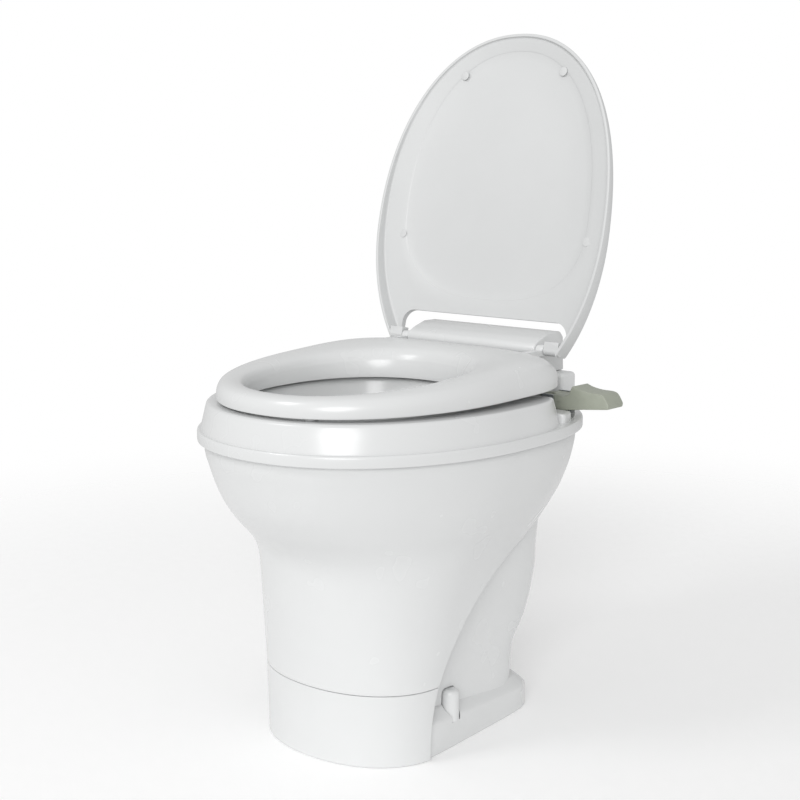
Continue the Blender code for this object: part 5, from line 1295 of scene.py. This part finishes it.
def makeLidPads():
    s = lidPadSizes
    for end, (place, u, z) in s["places"].items():
        for name, x in ((end + "_right", place), (end + "_left", -place)):
            item = rod("pad", s["radius"], (x, -u, z - s["height"]), (x, -u, z + 0.0005))
            rounded(item, 0.0003, 2, 50)
            openLid(item)
            node = "lid_bumper_" + name
            finishPiece(item, "lidPad_" + name, node, body="lid", slot="rubber", material=padFinish)


makeSeat()
makeLid()
makeLidPads()
print("seat and lid made")


# Hinge cover between the lid's legs, and the hand lever

hingeCoverSizes = {
    "half": 0.0997,
    "edge": 0.002,
    "wall": 0.004,
    "barrel": (0.009, 116, 118),  # radius, first degree, span
    # y and z of the top, from the barrel back, then down to the platform
    "top": ((0.0040, 0.4568), (0.0240, 0.4630), (0.0460, 0.4630), (0.0530, 0.4560)),
    "rearY": 0.055,
    "frontY": 0.026,
    "bottom": 0.4146,
    "hollow": (0.080, 0.452),  # half width, top
    "stud": (0.0043, 0.088, 0.043, 0.4256),  # radius, x, y, top
    "pinHole": (0.0043, 0.0777, 0.12),  # radius, from, to
}

leverSizes = {
    "pivot": (0.135, 0.391),
    "reach": 0.082,
    "rise": 0.020,
    "depth": (-0.026, 0.006),
    "edge": 0.0022,
    # reach from the pivot over the reach to the tip, height over the rise
    "blade": (
        (-0.10, 0.35),
        (0.25, 0.33),
        (0.33, 0.45),
        (0.39, 1.00),
        (0.50, 0.84),
        (0.66, 0.74),
        (0.85, 0.72),
        (0.93, 0.55),
        (1.00, 0.10),
        (0.99, -0.12),
        (0.60, -0.30),
        (0.26, -0.49),
        (-0.10, -0.50),
    ),
    "armEnd": (0.01568, 0.3785),
    "armRadii": (0.008, 0.007),
    "armDepth": (-0.0165, -0.0045),
    "pin": (0.003, -0.0265, -0.0105),
    "bore": 0.0032,
}


def makeHingeCover():
    s = hingeCoverSizes
    radius, first, span = s["barrel"]
    barrel = []
    for degrees in spread(first, first + span, 32):
        turn = math.radians(degrees)
        barrel.append((radius * math.cos(turn), hingeLine.z + radius * math.sin(turn)))
    outline = barrel[::-1] + list(s["top"])
    outline += [(s["rearY"], s["bottom"]), (s["frontY"], s["bottom"])]
    item = slab("hingeCover", outline, -s["half"], s["half"], "X")
    rounded(item, s["edge"], 4, 30)
    half, top = s["hollow"]
    low = (-half, s["frontY"] + s["wall"], s["bottom"] - 0.01)
    carve(item, block("hollow", low, (half, s["rearY"] - s["wall"], top)))
    studRadius, x, y, studTop = s["stud"]
    holeRadius, inner, outer = s["pinHole"]
    z = hingeLine.z
    for side in (1, -1):
        foot = (side * x, y, s["bottom"] - 0.005)
        stud = rod("stud", studRadius, foot, (side * x, y, studTop))
        carve(item, stud, rod("pinHole", holeRadius, (side * inner, 0, z), (side * outer, 0, z)))
    finishPiece(item, "hingeCover", "hinge_cover")


def roundEnded(start, startRadius, end, endRadius, steps=12):
    # an outline of two round ends and the straight sides between them
    start = Vector(start)
    end = Vector(end)
    line = end - start
    heading = math.atan2(line.y, line.x)
    lean = math.acos((startRadius - endRadius) / line.length)
    outline = []
    for centre, radius, first, span in (
        (start, startRadius, heading + lean, 2 * (math.pi - lean)),
        (end, endRadius, heading - lean, 2 * lean),
    ):
        for turn in spread(first, first + span, steps):
            x = centre.x + radius * math.cos(turn)
            outline.append((x, centre.y + radius * math.sin(turn)))
    return outline


def makeLever():
    s = leverSizes
    x, z = s["pivot"]
    low, high = s["depth"]
    rows = s["blade"]
    shares = list(rows[:3]) + curveThrough(rows[3:9], 5) + list(rows[9:])
    outline = [(x + along * s["reach"], z + up * s["rise"]) for along, up in shares]
    item = slab("handLever", outline, low, high, "Y")
    rounded(item, s["edge"], 4, 35)
    wide, narrow = s["armRadii"]
    side = roundEnded(s["pivot"], wide, s["armEnd"], narrow)
    arm = slab("arm", side, *s["armDepth"], "Y")
    radius, pinLow, pinHigh = s["pin"]
    endX, endZ = s["armEnd"]
    pin = rod("armPin", radius, (endX, pinLow, endZ), (endX, pinHigh, endZ), 32)
    carve(item, arm, pin, operation="UNION")
    carve(item, rod("bore", s["bore"], (x, low - 0.01, z), (x, high + 0.01, z), 32))
    finishPiece(item, "handLever", "hand_lever", body="lever", slot="lever_plastic", angle=30)


makeHingeCover()
makeLever()
print("hinge cover and lever made")


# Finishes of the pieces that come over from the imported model

def finishCarriedOver():
    for name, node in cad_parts.items():
        finish = finishes[node.data.materials[0].name]
        if name.startswith("seat_bumper"):
            finish = padFinish
        node.material_slots[0].material = finish
        for face in node.data.polygons:
            face.use_smooth = False


finishCarriedOver()
print("carried-over pieces finished")


# Floor, light and background

stageSizes = {
    "radius": 4.0,
    "plain": 0.55,  # the floor is whole within this distance and gone by the next
    "gone": 1.70,
    "worldLight": 0.62,
    "sun": {"from": (0.50, -0.80, 0.34), "strength": 1.45, "angle": 30},
    "softbox": {"place": (-0.55, -1.70, 1.75), "aim": (0, -0.2, 0.35), "size": 0.55, "power": 8},
}


def paleFloor():
    # Matt white studio paper, faintly uneven, that thins out into the white background.
    made = newMaterial(
        "studioPaper", Roughness=0.9, Emission_Color=(1, 1, 1, 1), Emission_Strength=0.06
    )
    tree = made.node_tree
    tinted(made, surfacePattern(made, 0.02, 3), "#FBFBFB", "#FFFFFF")
    place = addNode(tree, "ShaderNodeTexCoord")
    reach = addNode(
        tree, "ShaderNodeVectorMath", {"operation": "LENGTH"}, {0: place.outputs["Object"]}
    )
    span = {
        "interpolation_type": "SMOOTHSTEP",
        "From Min": stageSizes["plain"],
        "From Max": stageSizes["gone"],
        "To Min": 0,
        "To Max": 1,
    }
    fade = addNode(tree, "ShaderNodeMapRange", span, {"Value": reach.outputs["Value"]})
    clear = addNode(tree, "ShaderNodeBsdfTransparent")
    ends = {0: fade.outputs[0], 1: shaderOf(made).outputs[0], 2: clear.outputs[0]}
    both = addNode(tree, "ShaderNodeMixShader", links=ends)
    tree.links.new(both.outputs[0], tree.nodes["Material Output"].inputs[0])
    return made


def makeFloor():
    bpy.ops.mesh.primitive_circle_add(vertices=96, radius=stageSizes["radius"], fill_type="NGON")
    floor = bpy.context.active_object
    floor.name = "studioFloor"
    floor.data.materials.append(paleFloor())


def makeWorld():
    # an even white surround: full white where it is seen, straight or through something clear,
    # and softer as light
    world = bpy.data.worlds.new("studioWorld")
    world.use_nodes = True
    tree = world.node_tree
    tree.nodes.clear()
    path = addNode(tree, "ShaderNodeLightPath")
    rays = {0: path.outputs["Is Camera Ray"], 1: path.outputs["Is Transmission Ray"]}
    seen = addNode(tree, "ShaderNodeMath", {"operation": "MAXIMUM"}, rays)
    span = {"To Min": stageSizes["worldLight"], "To Max": 1.0}
    level = addNode(tree, "ShaderNodeMapRange", span, {"Value": seen.outputs[0]})
    light = addNode(
        tree, "ShaderNodeBackground", {"Color": (1, 1, 1, 1)}, {"Strength": level.outputs[0]}
    )
    end = addNode(tree, "ShaderNodeOutputWorld")
    tree.links.new(light.outputs[0], end.inputs[0])
    bpy.context.scene.world = world


def makeLamps():
    s = stageSizes["sun"]
    bpy.ops.object.light_add(type="SUN", location=Vector(s["from"]) * 3)
    sun = bpy.context.active_object
    sun.name = "softSun"
    sun.rotation_euler = Vector(s["from"]).to_track_quat("Z", "Y").to_euler()
    sun.data.energy = s["strength"]
    sun.data.angle = math.radians(s["angle"])
    b = stageSizes["softbox"]
    bpy.ops.object.light_add(type="AREA", location=b["place"])
    box = bpy.context.active_object
    box.name = "softbox"
    turn = (Vector(b["place"]) - Vector(b["aim"])).to_track_quat("Z", "Y")
    box.rotation_euler = turn.to_euler()
    box.data.size = b["size"]
    box.data.energy = b["power"]


makeFloor()
makeWorld()
makeLamps()
bpy.context.scene.view_settings.view_transform = "Standard"
print("stage made")
